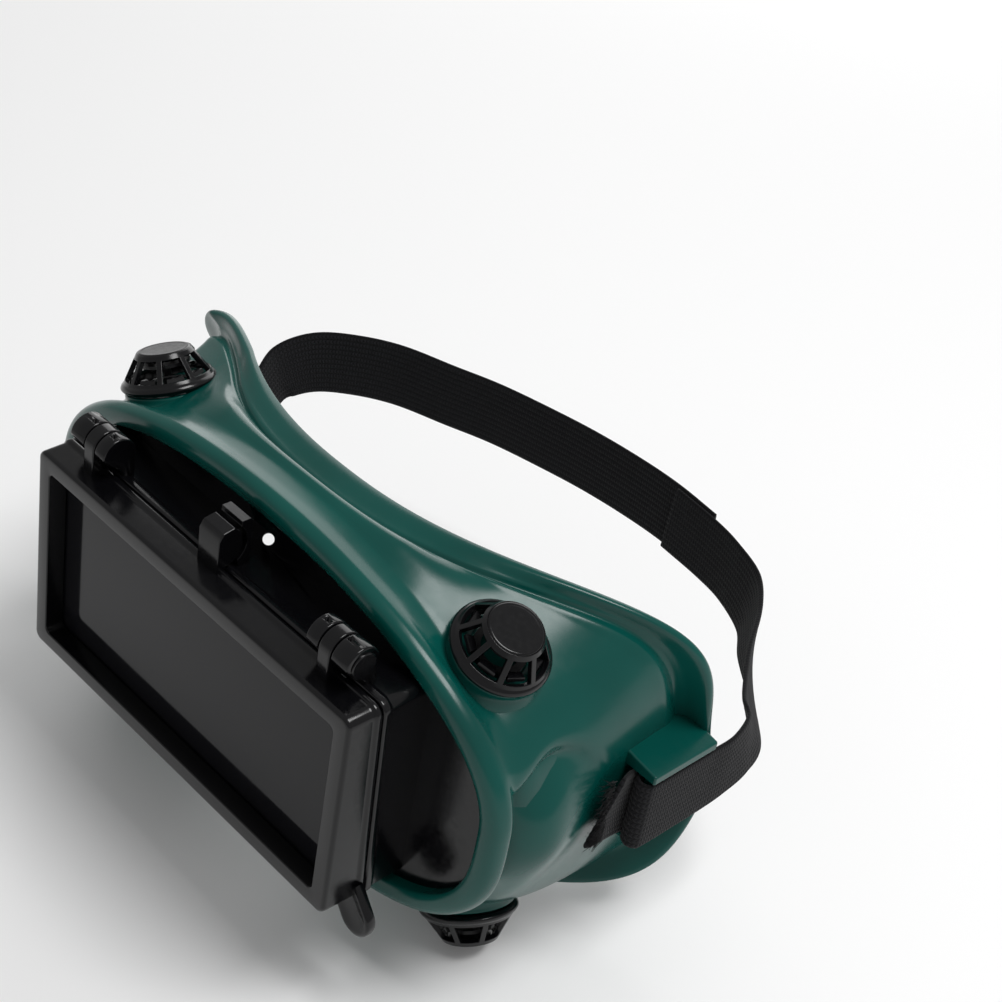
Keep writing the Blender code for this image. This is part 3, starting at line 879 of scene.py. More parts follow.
@dataclass
class SoftMask:
    """The green mask: collar, side wall with its folds, face flange and strap lugs."""

    paints: Paints
    columns: int = 480
    collar_depth: float = 18.5
    collar_half: float = 82.3
    collar_top: float = 44.2
    collar_bottom: float = 41.0
    collar_powers: tuple[float, float] = (2.1, 3.3)
    opening_half: float = 76.5
    opening_top: float = 37.4
    opening_bottom: float = 35.0
    opening_powers: tuple[float, float] = (2.35, 3.5)
    rim_half: float = 85.0
    rim_top: float = 42.0
    rim_bottom: float = 51.5
    rim_powers: tuple[float, float] = (4.0, 7.0)
    flange_depth: float = 43.0
    flange_reach: float = 6.5
    wrap: tuple[float, float, float] = (27.0, 70.0, 2.3)  # depth at this half width, and power
    temple: tuple[float, float, float] = (8.0, -18.0, 20.0)  # depth, height and spread
    nose_notch: tuple[float, float] = (35.0, 17.0)  # height and spread
    nose_lift: tuple[float, float] = (4.0, 20.0)  # depth and spread
    curl: tuple[float, float, float] = (15.0, 1.0, 5.5)  # forward, outward and upward
    curl_place: tuple[float, float, float, float] = (52.0, 26.0, 23.0, 18.0)
    skin: float = 2.5
    cheek: float = 8.0
    vent_dip: tuple[float, float, float] = (3.4, 60.3, 15.0)  # depth, half width and spread
    brow_swell: float = 2.6
    neck: float = 3.4
    crease_line: tuple[tuple[float, float], ...] = (
        (24.5, -12.0), (26.0, -4.0), (29.5, 3.5), (36.0, 8.5), (43.0, 11.5), (50.0, 9.0),
        (57.0, 2.0),
    )  # depth and height along the crease
    crease: tuple[float, float, float] = (4.6, 3.4, 5.6)  # depth, width above and below
    bulge: tuple[float, float, float, float] = (3.0, 42.0, -8.0, 11.0)  # size, place, spread
    lug_depth: tuple[float, float] = (67.5, 87.5)

    def sweep(self, x: Array) -> Array:
        """How far the collar is swept back at x: the fourth power of x over 84, times 5."""
        return 5.0 * (np.abs(x) / 84.0) ** 4

    def collar(self, inset: float, behind: float) -> Array:
        """A loop round the collar, inset from its outer edge and behind its front.

        Args:
            inset: distance inside the outer edge.
            behind: distance behind the collar's front.

        Returns:
            A loop of points in millimetres.
        """
        x, z = superellipse(
            self.collar_half - inset, self.collar_top - inset, self.collar_bottom - inset,
            self.collar_powers, self.columns,
        )
        return np.stack([x, self.collar_depth + self.sweep(x) + behind, z + 1.0], axis=1)

    def opening(self, grow: float, depth: float) -> Array:
        """A loop round the collar's opening, grown outwards by grow, at a swept depth."""
        x, z = superellipse(
            self.opening_half + grow, self.opening_top + grow, self.opening_bottom + grow,
            self.opening_powers, self.columns,
        )
        return np.stack([x, depth + self.sweep(x), z + 1.0], axis=1)

    def flange(self, inset: float, behind: float) -> Array:
        """A loop round the face flange.

        Its depth grows with the 2.3rd power of x, so that it wraps the face; a bump at the
        temples carries it further back, a bell-shaped notch makes room for the nose, and the
        upper corner on the wearer's right curls forward, over a run of x and a spread of z
        (curl_place).  Over the brow the inner part of the flange slopes forward instead of
        standing upright, most of all in the middle.

        Args:
            inset: distance inside the rim.
            behind: distance behind the rim's own depth.

        Returns:
            A loop of points in millimetres.
        """
        x, z = superellipse(
            self.rim_half - inset, self.rim_top - inset, self.rim_bottom - inset,
            self.rim_powers, self.columns,
        )
        full_x, full_z = superellipse(
            self.rim_half, self.rim_top, self.rim_bottom, self.rim_powers, self.columns
        )
        below = z < 0
        notch = np.where(below, self.nose_notch[0] * np.exp(-((x / self.nose_notch[1]) ** 2)), 0.0)
        nose = np.where(below, -self.nose_lift[0] * np.exp(-((x / self.nose_lift[1]) ** 2)), 0.0)
        wrap = self.wrap[0] * (np.abs(full_x) / self.wrap[1]) ** self.wrap[2]
        temple = self.temple[0] * np.exp(-(((full_z - self.temple[1]) / self.temple[2]) ** 2))
        temple = temple * (np.abs(full_x) / self.rim_half) ** 8
        first, run, height, tall = self.curl_place
        curl = np.clip((-full_x - first) / run, 0, 1) ** 1.3
        curl = curl * np.exp(-(((full_z - height) / tall) ** 2))
        curl = curl * max(0.0, 1.0 - inset / (3 * self.flange_reach))
        slope = 0.62 + 0.2 * np.clip((60.0 - np.abs(full_x)) / 25.0, 0, 1)
        brow = slope * min(inset, self.flange_reach) * np.clip(full_z / 30.0, 0, 1)
        forward, outward_by, upward = self.curl
        depth = self.flange_depth + wrap + temple + nose + behind - forward * curl - 1.05 * brow
        return np.stack([x - outward_by * curl, depth, z + notch + upward * curl + brow], axis=1)

    def wall(self, share: float, inset: float) -> Array:
        """A loop of the side wall, share of the way from the collar to the flange.

        Below, the cheeks bulge by the sine of pi times share to the power 0.75; above, the
        wall sinks under each vent by a bell curve of x and swells between the vents; behind
        the lower collar it necks in.

        Args:
            share: 0 at the collar, 1 at the flange.
            inset: distance inside the outer surface.

        Returns:
            A loop of points in millimetres.
        """
        front = self.collar(0.6 + inset, 4.0 + 6.0 * min(1.0, share / 0.1))
        back = self.flange(self.flange_reach + inset, -2.5)
        blend = max(0.0, (share - 0.1) / 0.9)
        loop = front + (back - front) * blend
        wide, high = np.abs(front[:, 0]), front[:, 2]
        cheek = np.clip((wide - 22.0) / 32.0, 0, 1) * np.clip(-high / 34.0, 0, 1)
        loop[:, 2] -= self.cheek * math.sin(math.pi * blend**0.75) * cheek
        sink, place, spread = self.vent_dip
        dip = np.exp(-(((wide - place) / spread) ** 2)) * np.clip(high / 20.0, 0, 1)
        loop[:, 2] -= sink * min(1.0, share / 0.1) * (1 - blend**2) * dip
        brow = np.clip((48.0 - wide) / 18.0, 0, 1) * np.clip(high / 24.0, 0, 1)
        loop[:, 2] += self.brow_swell * math.sin(math.pi * blend**1.2) * brow
        neck = self.neck * np.clip((16.0 - high) / 18.0, 0, 1)
        neck = neck * np.clip((wide - 25.0) / 40.0, 0, 1)
        neck = neck * math.exp(-(((share - 0.05) / 0.07) ** 2))
        loop[:, 0] -= np.sign(loop[:, 0]) * neck * np.clip(wide / 84.0, 0, 1) ** 2
        loop[:, 2] += neck * np.clip(-high / 40.0, 0, 1)
        return loop

    def folds(self, points: Array) -> Array:
        """Press the creases and the pinched bulge into both sides of the wall.

        A crease sinks the wall by a bell curve of the distance to its line in the
        (depth, z) plane, narrow above the line, where the wall overhangs, and wide below it.
        The bulge under it lifts the wall by a broad bell curve.

        Args:
            points: the outer wall's points in millimetres.

        Returns:
            The points, moved in X.
        """
        line = smooth_line(np.array(self.crease_line), 6)
        place = points[..., 1:]
        best = np.full(points.shape[:-1], 1e9)
        along = np.zeros(points.shape[:-1])
        over = np.zeros(points.shape[:-1], dtype=bool)
        for i in range(len(line) - 1):
            a, d = line[i], line[i + 1] - line[i]
            t = np.clip(((place - a) @ d) / (d @ d), 0, 1)
            away = np.linalg.norm(place - (a + t[..., None] * d), axis=-1)
            closer = away < best
            best = np.where(closer, away, best)
            along = np.where(closer, (i + t) / (len(line) - 1), along)
            above = (place - a) @ np.array((-d[1], d[0])) > 0
            over = np.where(closer, above, over)
        depth, above_width, below_width = self.crease
        deep = depth * np.cos(0.5 * np.pi * np.clip(along, 0, 1) ** 1.6)
        press = deep * np.exp(-((best / np.where(over, above_width, below_width)) ** 2))
        size, behind, height, spread = self.bulge
        bulge = size * np.exp(-(((place[..., 0] - behind) / spread) ** 2))
        bulge = bulge * np.exp(-(((place[..., 1] - height) / spread) ** 2))
        side = np.clip((np.abs(points[..., 0]) - 60.0) / 15.0, 0, 1)
        out = points.copy()
        out[..., 0] += np.sign(points[..., 0]) * side * (bulge - press)
        return out

    def shell(self) -> bpy.types.Object:
        """The mask's whole skin: one section carried round from the collar and back inside.

        Returns:
            The skin.
        """
        shares = (0.04, 0.1, 0.2, 0.32, 0.46, 0.6, 0.74, 0.86, 0.94)
        lip = 20.9
        rows: list[tuple[Array, int]] = [
            (self.opening(0.0, lip), 2), (self.opening(0.0, lip - 1.2), 3),
            (self.collar(5.2, 0.35), 3), (self.collar(3.1, -0.1), 4), (self.collar(0.9, 0.6), 4),
            (self.collar(0.0, 2.6), 4), (self.collar(0.25, 4.4), 3),
        ]
        rows += [(self.wall(s, 0.0), 6) for s in shares]
        reach = self.flange_reach
        rows += [
            (self.flange(reach + 0.9, -2.6), 3), (self.flange(reach - 0.2, -1.5), 3),
            (self.flange(reach - 1.6, -1.0), 3), (self.flange(0.9, -0.9), 3),
            (self.flange(0.15, -0.5), 3), (self.flange(0.0, 0.4), 3),
            (self.flange(0.5, 1.4), 3), (self.flange(1.4, 1.6), 3),
            (self.flange(reach + 4.2, 1.2), 3), (self.flange(reach + 5.2, 0.2), 3),
        ]
        rows += [(self.wall(s, self.skin), 2) for s in (0.92, 0.72, 0.5, 0.28, 0.14)]
        rows += [(self.opening(-0.5, 27.9), 2), (self.opening(-0.5, 25.6), 2)]
        loops = np.stack([loop for loop, _ in rows])
        dense = smooth_rows(loops, [steps for _, steps in rows])
        first = sum(steps for _, steps in rows[:7])
        last = first + 6 * len(shares)
        dense[first:last] = self.folds(dense[first:last])
        shell = Shell()
        shell.grid(metres(dense), close_rows=True)
        return shell.build("mask_skin", self.paints.vinyl, sharp=None)

    def lug(self, word: str, side: float) -> bpy.types.Object:
        """A strap lug: a wedge-topped loop of soft vinyl with a slot open at the front.

        Args:
            word: the side's name.
            side: 1 on the wearer's left, -1 on the right.

        Returns:
            The lug.
        """
        front, back = self.lug_depth
        blocks = (
            # root x, outer x, front, back, bottom, top inside, top outside
            (77.4, 88.6, front - 1.5, back, 0.2, 4.6, 2.7),
            (84.4, 86.9, front, back, -22.0, 3.0, 2.9),
            (77.4, 86.9, front, back, -22.2, -20.6, -20.7),
            (76.9, 86.9, back - 3.0, back, -22.0, 4.0, 2.9),
        )
        name = f"strap_lug_{word}"
        parts = []
        for x0, x1, d0, d1, low, high_in, high_out in blocks:
            ring = ((x0, low), (x1, low), (x1, high_out), (x0, high_in))
            points = [[(side * x, d, z) for x, z in ring] for d in (d0, d1)]
            shell = Shell()
            shell.grid(metres(np.array(points)), caps=True)
            parts.append(shell.build(name, self.paints.vinyl, sharp=30.0))
            soften(parts[-1], 0.55)
            applied(parts[-1])
        return joined(name, parts)

    def build(self) -> None:
        """Make the skin and its two lugs."""
        belongs(self.shell(), Body.MASK, Slot.VINYL, "mask_body")
        for word, side in SIDES.items():
            belongs(self.lug(word, side), Body.MASK, Slot.VINYL)


# ---------------------------------------------------------------- lens frames


@dataclass
class LensFrames:
    """The flip-up front and the fixed box behind it, with the plate that fills the collar."""

    paints: Paints
    width: float = 114.0
    height: float = 57.3
    rim: float = 4.7
    recess: float = 4.7
    side_wall: float = 2.8
    flip_depth: float = 8.8
    wedge: float = 2.5
    gap: float = 0.3
    plate_depth: float = 21.8
    plate_thick: float = 3.4
    dip: float = 7.6  # how far the plate's edge dips behind the detent
    bead: float = 0.6  # how far the beads where the two frames meet stand out
    seat_depth: float = 14.0  # rim to the clear plate's seat
    drain_ends: tuple[tuple[float, float, float], ...] = ((5.1, 18.8, 34.5), (-7.4, 29.9, 21.7))
    drain_radius: float = 1.35
    tab_centre: float = 9.5  # along the tab to the centre of its round end
    tab_radius: float = 4.8
    tab_root: float = 1.8
    tab_turn: float = -52.0  # degrees below the horizontal

    def ring(self, profile: Array, share: Array, radius: float, inner: float) -> Array:
        """Carry a section round the rectangular frame.

        A section point is (inset, depth); it is set back by its share of the wedge, which
        grows evenly from the top edge to the bottom edge.

        Args:
            profile: (n, 2) inset and depth of each section point.
            share: how much of the wedge each point takes.
            radius: corner radius of the outer edge.
            inner: corner radius that deep insets tend to.

        Returns:
            An (n, m, 3) grid of points in millimetres.
        """
        rows = []
        for (inset, depth), part in zip(profile, share):
            corner = max(radius - inset, inner if inset > 3.5 else 0.8)
            loop = rounded_rectangle(self.width / 2 - inset, self.height / 2 - inset, corner, 9)
            back = depth + part * self.wedge * (self.height / 2 - loop[:, 1]) / self.height
            rows.append(np.stack([loop[:, 0], back, loop[:, 1]], axis=1))
        return np.stack(rows)

    def section(self, corners: Sequence[tuple[float, float, float, float]]) -> tuple[Array, Array]:
        """Round a section's corners.

        Args:
            corners: (inset, depth, share of the wedge, radius) of each corner.

        Returns:
            The rounded section, and the wedge share of each of its points.
        """
        steps = 5
        points = fillet([(a, b, r) for a, b, _, r in corners], steps)
        share = np.concatenate([[s] * (steps if r > 0 else 1) for _, _, s, r in corners])
        return points, share

    def flip(self) -> bpy.types.Object:
        """The flip-up frame: flat rim, window recess, pocket behind it and a rear bead.

        Returns:
            The frame.
        """
        back = self.flip_depth - self.gap / 2
        corners = [
            (0.15, 0.0, 0, 1.1), (self.rim, 0.0, 0, 0.35), (self.rim + 0.35, self.recess, 0, 0.2),
            (self.side_wall, self.recess, 0, 0.0), (self.side_wall, back, 1, 0.2),
            (-0.1, back, 1, 0.2), (-self.bead, back - 0.35, 1, 0.35),
            (-self.bead, back - 1.3, 1, 0.4),
            (-0.05, back - 2.0, 1, 0.5),
        ]
        shell = Shell()
        shell.grid(metres(self.ring(*self.section(corners), 2.6, 1.6)), close_rows=True)
        return shell.build("flip_front_frame", self.paints.gloss, sharp=40.0)

    def fixed(self) -> bpy.types.Object:
        """The fixed box: front bead, lens seat, side walls back to the oval plate.

        Returns:
            The box.
        """
        front = self.flip_depth + self.gap / 2
        back = self.plate_depth + self.plate_thick + 1.4
        inset = self.rim + 0.3
        corners = [
            (0.0, front + 2.6, 1, 0.4), (-self.bead, front + 2.0, 1, 0.4),
            (-self.bead, front + 0.4, 1, 0.35), (-0.1, front, 1, 0.25), (inset, front, 1, 0.3),
            (inset, self.seat_depth, 0, 0.2), (self.side_wall, self.seat_depth, 0, 0.0),
            (self.side_wall, back, 0, 0.3), (0.0, back, 0, 0.3),
        ]
        shell = Shell()
        shell.grid(metres(self.ring(*self.section(corners), 2.6, 1.6)), close_rows=True)
        return shell.build("fixed_lens_box", self.paints.gloss, sharp=40.0)

    def oval_plate(self, mask: SoftMask) -> bpy.types.Object:
        """The oval plate that fills the collar, dipped at the top centre behind the detent.

        Args:
            mask: the mask whose opening it fills.

        Returns:
            The plate.
        """
        count = 256
        x, z = superellipse(
            mask.opening_half + 2.2, mask.opening_top + 2.2, mask.opening_bottom + 2.2,
            mask.opening_powers, count,
        )
        z = z + 1.0
        z = z - np.where(z > 0, self.dip * np.clip(1.5 - np.abs(x) / 8.0, 0, 1) ** 2, 0.0)
        hole_x, hole_z = superellipse(
            self.width / 2 - 1.5, self.height / 2 - 1.5, self.height / 2 - 1.5, (14, 14), count
        )
        front, back = self.plate_depth, self.plate_depth + self.plate_thick
        shares = ((1.0, front + 0.4), (0.994, front), (0.5, front), (0.0, front), (0.0, back),
                  (1.0, back))
        rows = []
        for share, depth in shares:
            px, pz = hole_x + (x - hole_x) * share, hole_z + (z - hole_z) * share
            rows.append(np.stack([px, depth + mask.sweep(px), pz], axis=1))
        shell = Shell()
        shell.grid(metres(np.stack(rows)), close_rows=True)
        return shell.build("oval_plate", self.paints.gloss, sharp=40.0)

    def drain(self) -> bpy.types.Object:
        """A tool for the slanting drain hole at the top of the plate, beside the detent.

        Returns:
            A cylinder from above the plate down into the mask.
        """
        start, end = (Vector(metres(np.array(p))) for p in self.drain_ends)
        turn = (end - start).to_track_quat("Z", "Y").to_matrix().to_4x4()
        reach = (end - start).length / MM
        radius = self.drain_radius
        outline = np.array(((0.0, 0.0), (radius, 0.0), (radius, reach), (0.0, reach)))
        grid = moved(turned(outline, 24) * MM, Matrix.Translation(start) @ turn)
        shell = Shell()
        shell.grid(grid, close_rows=True, close_cols=False)
        return shell.build("drain", self.paints.gloss)

    def lift_tab(self, word: str, side: float) -> bpy.types.Object:
        """A lift tab: a rounded tongue with a raised edge, at a lower corner of the front.

        Args:
            word: the side's name.
            side: 1 on the wearer's left, -1 on the right.

        Returns:
            The tab.
        """
        angle = np.radians(np.linspace(-90, 90, 25))
        half, root = self.tab_radius, self.tab_root
        tip = np.stack([self.tab_centre + half * np.cos(angle), half * np.sin(angle)], axis=1)
        outline = np.concatenate([tip, [(root, half), (root, -half)]])
        centre = np.array((7.0, 0.0))
        front = self.flip_depth + self.wedge - 3.5
        turn = math.radians(self.tab_turn)
        rows = []
        for shrink, depth in ((0.0, 0.5), (0.7, 0.5), (0.78, 0.15), (0.9, 0.0), (0.97, 0.2),
                              (1.0, 0.7), (1.0, 2.0), (0.96, 2.6), (0.0, 2.7)):
            ring = centre + (outline - centre) * shrink
            u, v = ring[:, 0], ring[:, 1]
            x = self.width / 2 - 4.0 + u * math.cos(turn) - v * math.sin(turn)
            z = -self.height / 2 + 4.0 + u * math.sin(turn) + v * math.cos(turn)
            rows.append(np.stack([side * x, np.full_like(x, front + depth), z], axis=1))
        shell = Shell()
        shell.grid(metres(np.stack(rows)))
        return shell.build(f"lift_tab_{word}", self.paints.gloss, sharp=50.0)

    def build(self, mask: SoftMask) -> None:
        """Make both frames, the plate and the tabs.

        Args:
            mask: the mask whose opening the plate fills.
        """
        belongs(self.flip(), Body.FLIP, Slot.GLOSS, "flip_frame")
        box = belongs(self.fixed(), Body.MASK, Slot.GLOSS, "fixed_lens_frame")
        plate = belongs(self.oval_plate(mask), Body.MASK, Slot.GLOSS)
        for ob in (box, plate):
            cut(ob, self.drain(), 40.0)
        for word, side in SIDES.items():
            belongs(self.lift_tab(word, side), Body.FLIP, Slot.GLOSS)


# ---------------------------------------------------------------- hinges and detent


@dataclass
class Hinges:
    """The two knuckle hinges and the detent block between them."""

    paints: Paints
    axis_depth: float = 8.3
    axis_z: float = 35.3
    radius: float = 4.5
    knuckles: tuple[tuple[float, float], ...] = ((36.5, 40.3), (40.6, 44.4), (44.7, 50.0))
    cam_half: float = 3.7
    hole_radius: float = 0.75
    hole_reach: tuple[float, float] = (36.6, 41.0)  # bottom and top of the small drilled holes
    foot_low: float = 27.6
    boss_radius: float = 3.3
    sweep: float = 5.75  # radius of the hollow that the cam turns in

    def prism(self, name: str, outline: Array, x: Sequence[float], edge: float) -> bpy.types.Object:
        """A solid of constant section along X, with its edges rounded.

        Args:
            name: the piece's name.
            outline: (depth, z) corners.
            x: the two ends.
            edge: edge radius in millimetres.

        Returns:
            The solid.
        """
        low, high = min(x), max(x)
        rows = [np.column_stack([np.full(len(outline), e), outline]) for e in (low, high)]
        shell = Shell()
        shell.grid(metres(np.stack(rows)), caps=True)
        ob = shell.build(name, self.paints.gloss, sharp=30.0)
        if edge > 0:
            soften(ob, edge)
            applied(ob)
        return ob

    def arc(self, angle: Array, radius: float) -> Array:
        """Points (depth, z) at these angles and this radius about the hinge axis."""
        depth = self.axis_depth + radius * np.cos(angle)
        return np.stack([depth, self.axis_z + radius * np.sin(angle)], axis=1)

    def arch(self, foot: tuple[float, float, float]) -> Array:
        """A knuckle's section: half a circle about the hinge axis over a straight foot.

        Args:
            foot: front depth, rear depth and bottom z of the foot.

        Returns:
            The outline as (depth, z).
        """
        angle = np.radians(np.linspace(0, 180, 25))
        top = self.arc(angle, self.radius)
        front, rear, low = foot
        ankle = low + 2.6
        return np.concatenate([top, [(front, ankle), (front, low), (rear, low), (rear, ankle)]])

    def pinhole(self, x: float) -> bpy.types.Object:
        """A tool that drills the small hole in the top of a knuckle."""
        radius, (low, high) = self.hole_radius, self.hole_reach
        grid = turned(np.array(((0.0, low), (radius, low), (radius, high), (0.0, high))), 20)
        grid[..., 0] += x
        grid[..., 1] += self.axis_depth - 0.4
        shell = Shell()
        shell.grid(metres(grid), close_rows=True, close_cols=False)
        return shell.build("pinhole", self.paints.gloss)

    def hinge(self, side: float, word: str) -> None:
        """Make one hinge: two outer knuckles on the box, the middle one on the flip front.

        Args:
            side: 1 on the wearer's left, -1 on the right.
            word: the side's name.
        """
        for number, (low, high) in enumerate(self.knuckles):
            middle = number == 1
            front, rear = (3.8, 8.2) if middle else (9.4, 12.8)
            foot = (front, rear, self.foot_low)
            x = (side * low, side * high)
            ob = self.prism(f"knuckle_{word}_{number}", self.arch(foot), x, 0.45)
            if not middle:
                drill = low + 2.0 if number == 0 else low + 1.2
                cut(ob, self.pinhole(side * drill), 30.0)
            belongs(ob, Body.FLIP if middle else Body.MASK, Slot.GLOSS)
        low, high = self.knuckles[2]
        angle = np.radians(np.linspace(0, 360, 33)[:-1])
        ends = (side * (high - 0.4), side * (high + 0.5))
        boss = self.prism(f"hinge_boss_{word}", self.arc(angle, self.boss_radius), ends, 0.3)
        belongs(boss, Body.MASK, Slot.GLOSS)

    def cam(self) -> bpy.types.Object:
        """The detent cam on the flip front: a block with a bevelled crown.

        Returns:
            The cam.
        """
        outline = np.array(
            ((6.2, 28.2), (6.2, 37.4), (7.2, 39.3), (10.4, 39.9), (11.6, 38.9), (12.6, 37.4),
             (12.9, 34.4), (12.2, 32.0), (10.4, 30.4), (8.5, 30.0), (8.4, 28.2))
        )
        return self.prism("detent_cam", outline, (-self.cam_half, self.cam_half), 0.35)

    def detent(self) -> bpy.types.Object:
        """The detent plate on the fixed box, hollowed along the cam's sweep.

        Returns:
            The plate.
        """
        ends = [math.asin((z - self.axis_z) / self.sweep) for z in (39.75, 30.6)]
        hollow = self.arc(np.linspace(*ends, 14), self.sweep)
        crown = [(12.1, 41.0), (12.1, 39.9)]
        back = [(12.4, 28.2), (15.2, 28.2), (15.2, 40.2), (14.6, 41.0)]
        outline = np.concatenate([crown, hollow, back])
        return self.prism("detent_plate", outline, (-self.cam_half, self.cam_half), 0.3)

    def build(self) -> None:
        """Make both hinges and the detent."""
        for word, side in SIDES.items():
            self.hinge(side, word)
        belongs(self.cam(), Body.FLIP, Slot.GLOSS)
        belongs(self.detent(), Body.MASK, Slot.GLOSS)


# ---------------------------------------------------------------- vents


@dataclass(frozen=True)
class VentPlace:
    """Where a vent sits: flange centre, outward and forward tilt, and the side it is on."""

    level: str
    x: float
    depth: float
    z: float
    tilt: float
    forward: float

    def matrix(self, side: float) -> Matrix:
        """The vent's place: local +Z points out of the mask, the origin is the cap flange.

        Args:
            side: 1 on the wearer's left, -1 on the right.

        Returns:
            A matrix that takes local metres to frame metres.
        """
        up = 1.0 if self.z > 0 else -1.0
        lean = side * math.tan(math.radians(self.tilt))
        direction = Vector((lean, -math.tan(math.radians(self.forward)), up))
        turn = direction.normalized().to_track_quat("Z", "Y").to_matrix().to_4x4()
        centre = metres(np.array((side * self.x, self.depth, self.z)))
        return Matrix.Translation(Vector(centre)) @ turn


@dataclass
class Vents:
    """Four round vents: a cap with eight windows on a soft seat moulded into the mask."""

    paints: Paints
    flange: float = 12.0
    height: float = 7.0
    rib: float = 0.7
    places: tuple[VentPlace, ...] = (
        VentPlace("top", 60.3, 38.8, 34.2, 22.5, 0.0),
        VentPlace("bottom", 62.0, 43.5, -49.2, 28.0, 12.0),
    )

    def cone(self) -> tuple[Array, Array]:
        """The cap's cone, split so that eight tapered windows can be left out of it.

        Between ribs of constant width, a column lies at the rib's half width plus an even
        share of the arc that is left, at every height.

        Returns:
            The grid of points in local metres, and which of its quads are not windows.
        """
        heights = np.array((-0.3, 0.1, 0.75, 2.0, 3.2, 4.4, 5.6, 6.0, 6.4, self.height - 0.2))
        radii = np.interp(heights, (-0.3, 0.1, self.height), (11.3, 11.0, 6.6))
        inside, sectors = 12, 8
        share = np.linspace(0, 1, inside + 1)
        edge = np.arcsin(self.rib / radii)
        arc = 2 * np.pi / sectors - 2 * edge
        window = edge[:, None] + arc[:, None] * share[None]
        angle = np.concatenate([2 * np.pi * k / sectors + window for k in range(sectors)], axis=1)
        grid = np.stack(
            [radii[:, None] * np.cos(angle), radii[:, None] * np.sin(angle),
             heights[:, None] + 0 * angle], axis=-1,
        )
        column = np.arange(angle.shape[1]) % (inside + 1)
        row = np.arange(len(heights) - 1)
        window = (row[:, None] >= 2) & (row[:, None] <= 5) & (column[None] < inside)
        return grid * MM, ~window

    def cap(self, name: str, matrix: Matrix) -> bpy.types.Object:
        """A vent cap: windowed cone with wall thickness, its flange, and its flat crown.

        Args:
            name: the piece's name.
            matrix: the vent's place.

        Returns:
            The cap.
        """
        grid, keep = self.cone()
        cone = Shell()
        cone.grid(moved(grid, matrix), keep=keep)
        ob = cone.build(name + "_cone", self.paints.gloss, sharp=35.0, tidy=False)
        outward(ob.data)
        self.face_out(ob, matrix)
        wall = ob.modifiers.new("wall", "SOLIDIFY")
        wall.thickness = 1.25 * MM
        wall.offset = -1.0
        soften(ob, 0.16, 2)
        applied(ob)
        ring = fillet(
            [(9.6, 0.1, 0.3), (10.9, 0.1, 0.3), (self.flange - 0.3, -0.5, 0.7),
             (self.flange + 0.1, -1.4, 0.8), (self.flange - 0.8, -2.3, 0.5), (8.8, -2.3, 0.3)], 6,
        )
        top = self.height
        crown = fillet(
            [(0.02, top - 0.05, 0), (5.4, top - 0.05, 0.3), (5.7, top, 0.3),
             (6.35, top - 0.05, 0.3), (6.7, top - 0.7, 0.3), (5.2, top - 1.4, 0.3),
             (0.02, top - 1.4, 0)], 5, closed=False,
        )
        body = Shell()
        body.grid(moved(turned(ring, 96) * MM, matrix), close_rows=True)
        body.grid(moved(turned(crown, 64) * MM, matrix), close_rows=True, close_cols=False)
        for angle in np.radians(22.5 + 45.0 * np.arange(8)):
            body.grid(moved(self.step(angle) * MM, matrix), caps=True)
        rest = body.build(name + "_rest", self.paints.gloss, sharp=35.0)
        return joined(name, (ob, rest))

    def step(self, angle: float) -> Array:
        """The ledge seen at the foot of a window: a small wedge block inside the cone.

        Args:
            angle: the window's direction.

        Returns:
            A (2, 4, 3) grid of corners in millimetres.
        """
        spans = ((9.4, 0.4, 2.2), (9.0, 1.3, 2.1), (7.4, 1.3, 1.5), (7.2, 0.4, 1.6))
        rows = []
        for sign in (-1, 1):
            ring = []
            for radius, z, half in spans:
                turn = angle + sign * half / radius
                ring.append((radius * math.cos(turn), radius * math.sin(turn), z))
            rows.append(ring)
        return np.array(rows)

    def face_out(self, ob: bpy.types.Object, matrix: Matrix) -> None:
        """Turn an open cone's faces away from the vent's axis if they point inwards.

        Args:
            ob: the cone.
            matrix: the vent's place.
        """
        centre = matrix @ Vector((0, 0, 2 * MM))
        face = ob.data.polygons[0]
        if (face.center - centre).dot(face.normal) < 0:
            ob.data.flip_normals()

    def seat(self, name: str, matrix: Matrix, upper: bool) -> bpy.types.Object:
        """The soft seat under a cap: a short boss that flares into the mask's wall.

        Args:
            name: the piece's name.
            matrix: the vent's place.
            upper: whether it is on the top of the mask.

        Returns:
            The seat.
        """
        low = -9.0 if upper else -12.3
        flare = 13.2 if upper else 12.6
        profile = fillet(
            [(6.7, -2.7, 0.3), (11.2, -2.7, 0.5), (11.25, -4.2, 0.8), (flare, -7.0, 2.0),
             (flare - 0.6, -8.2, 0.3), (10.0, low, 0.5), (6.7, low, 0.4)], 6,
        )
        shell = Shell()
        shell.grid(moved(turned(profile, 96) * MM, matrix), close_rows=True)
        return shell.build(name, self.paints.vinyl, sharp=None)

    def build(self) -> None:
        """Make the four caps and seats."""
        for place in self.places:
            for word, side in SIDES.items():
                tag = f"{place.level}_{word}"
                matrix = place.matrix(side)
                cap = self.cap(f"vent_cap_moulding_{tag}", matrix)
                belongs(cap, Body.MASK, Slot.GLOSS, f"vent_cap_{tag}")
                seat = self.seat(f"vent_seat_{tag}", matrix, place.z > 0)
                belongs(seat, Body.MASK, Slot.VINYL)


# ---------------------------------------------------------------- headband


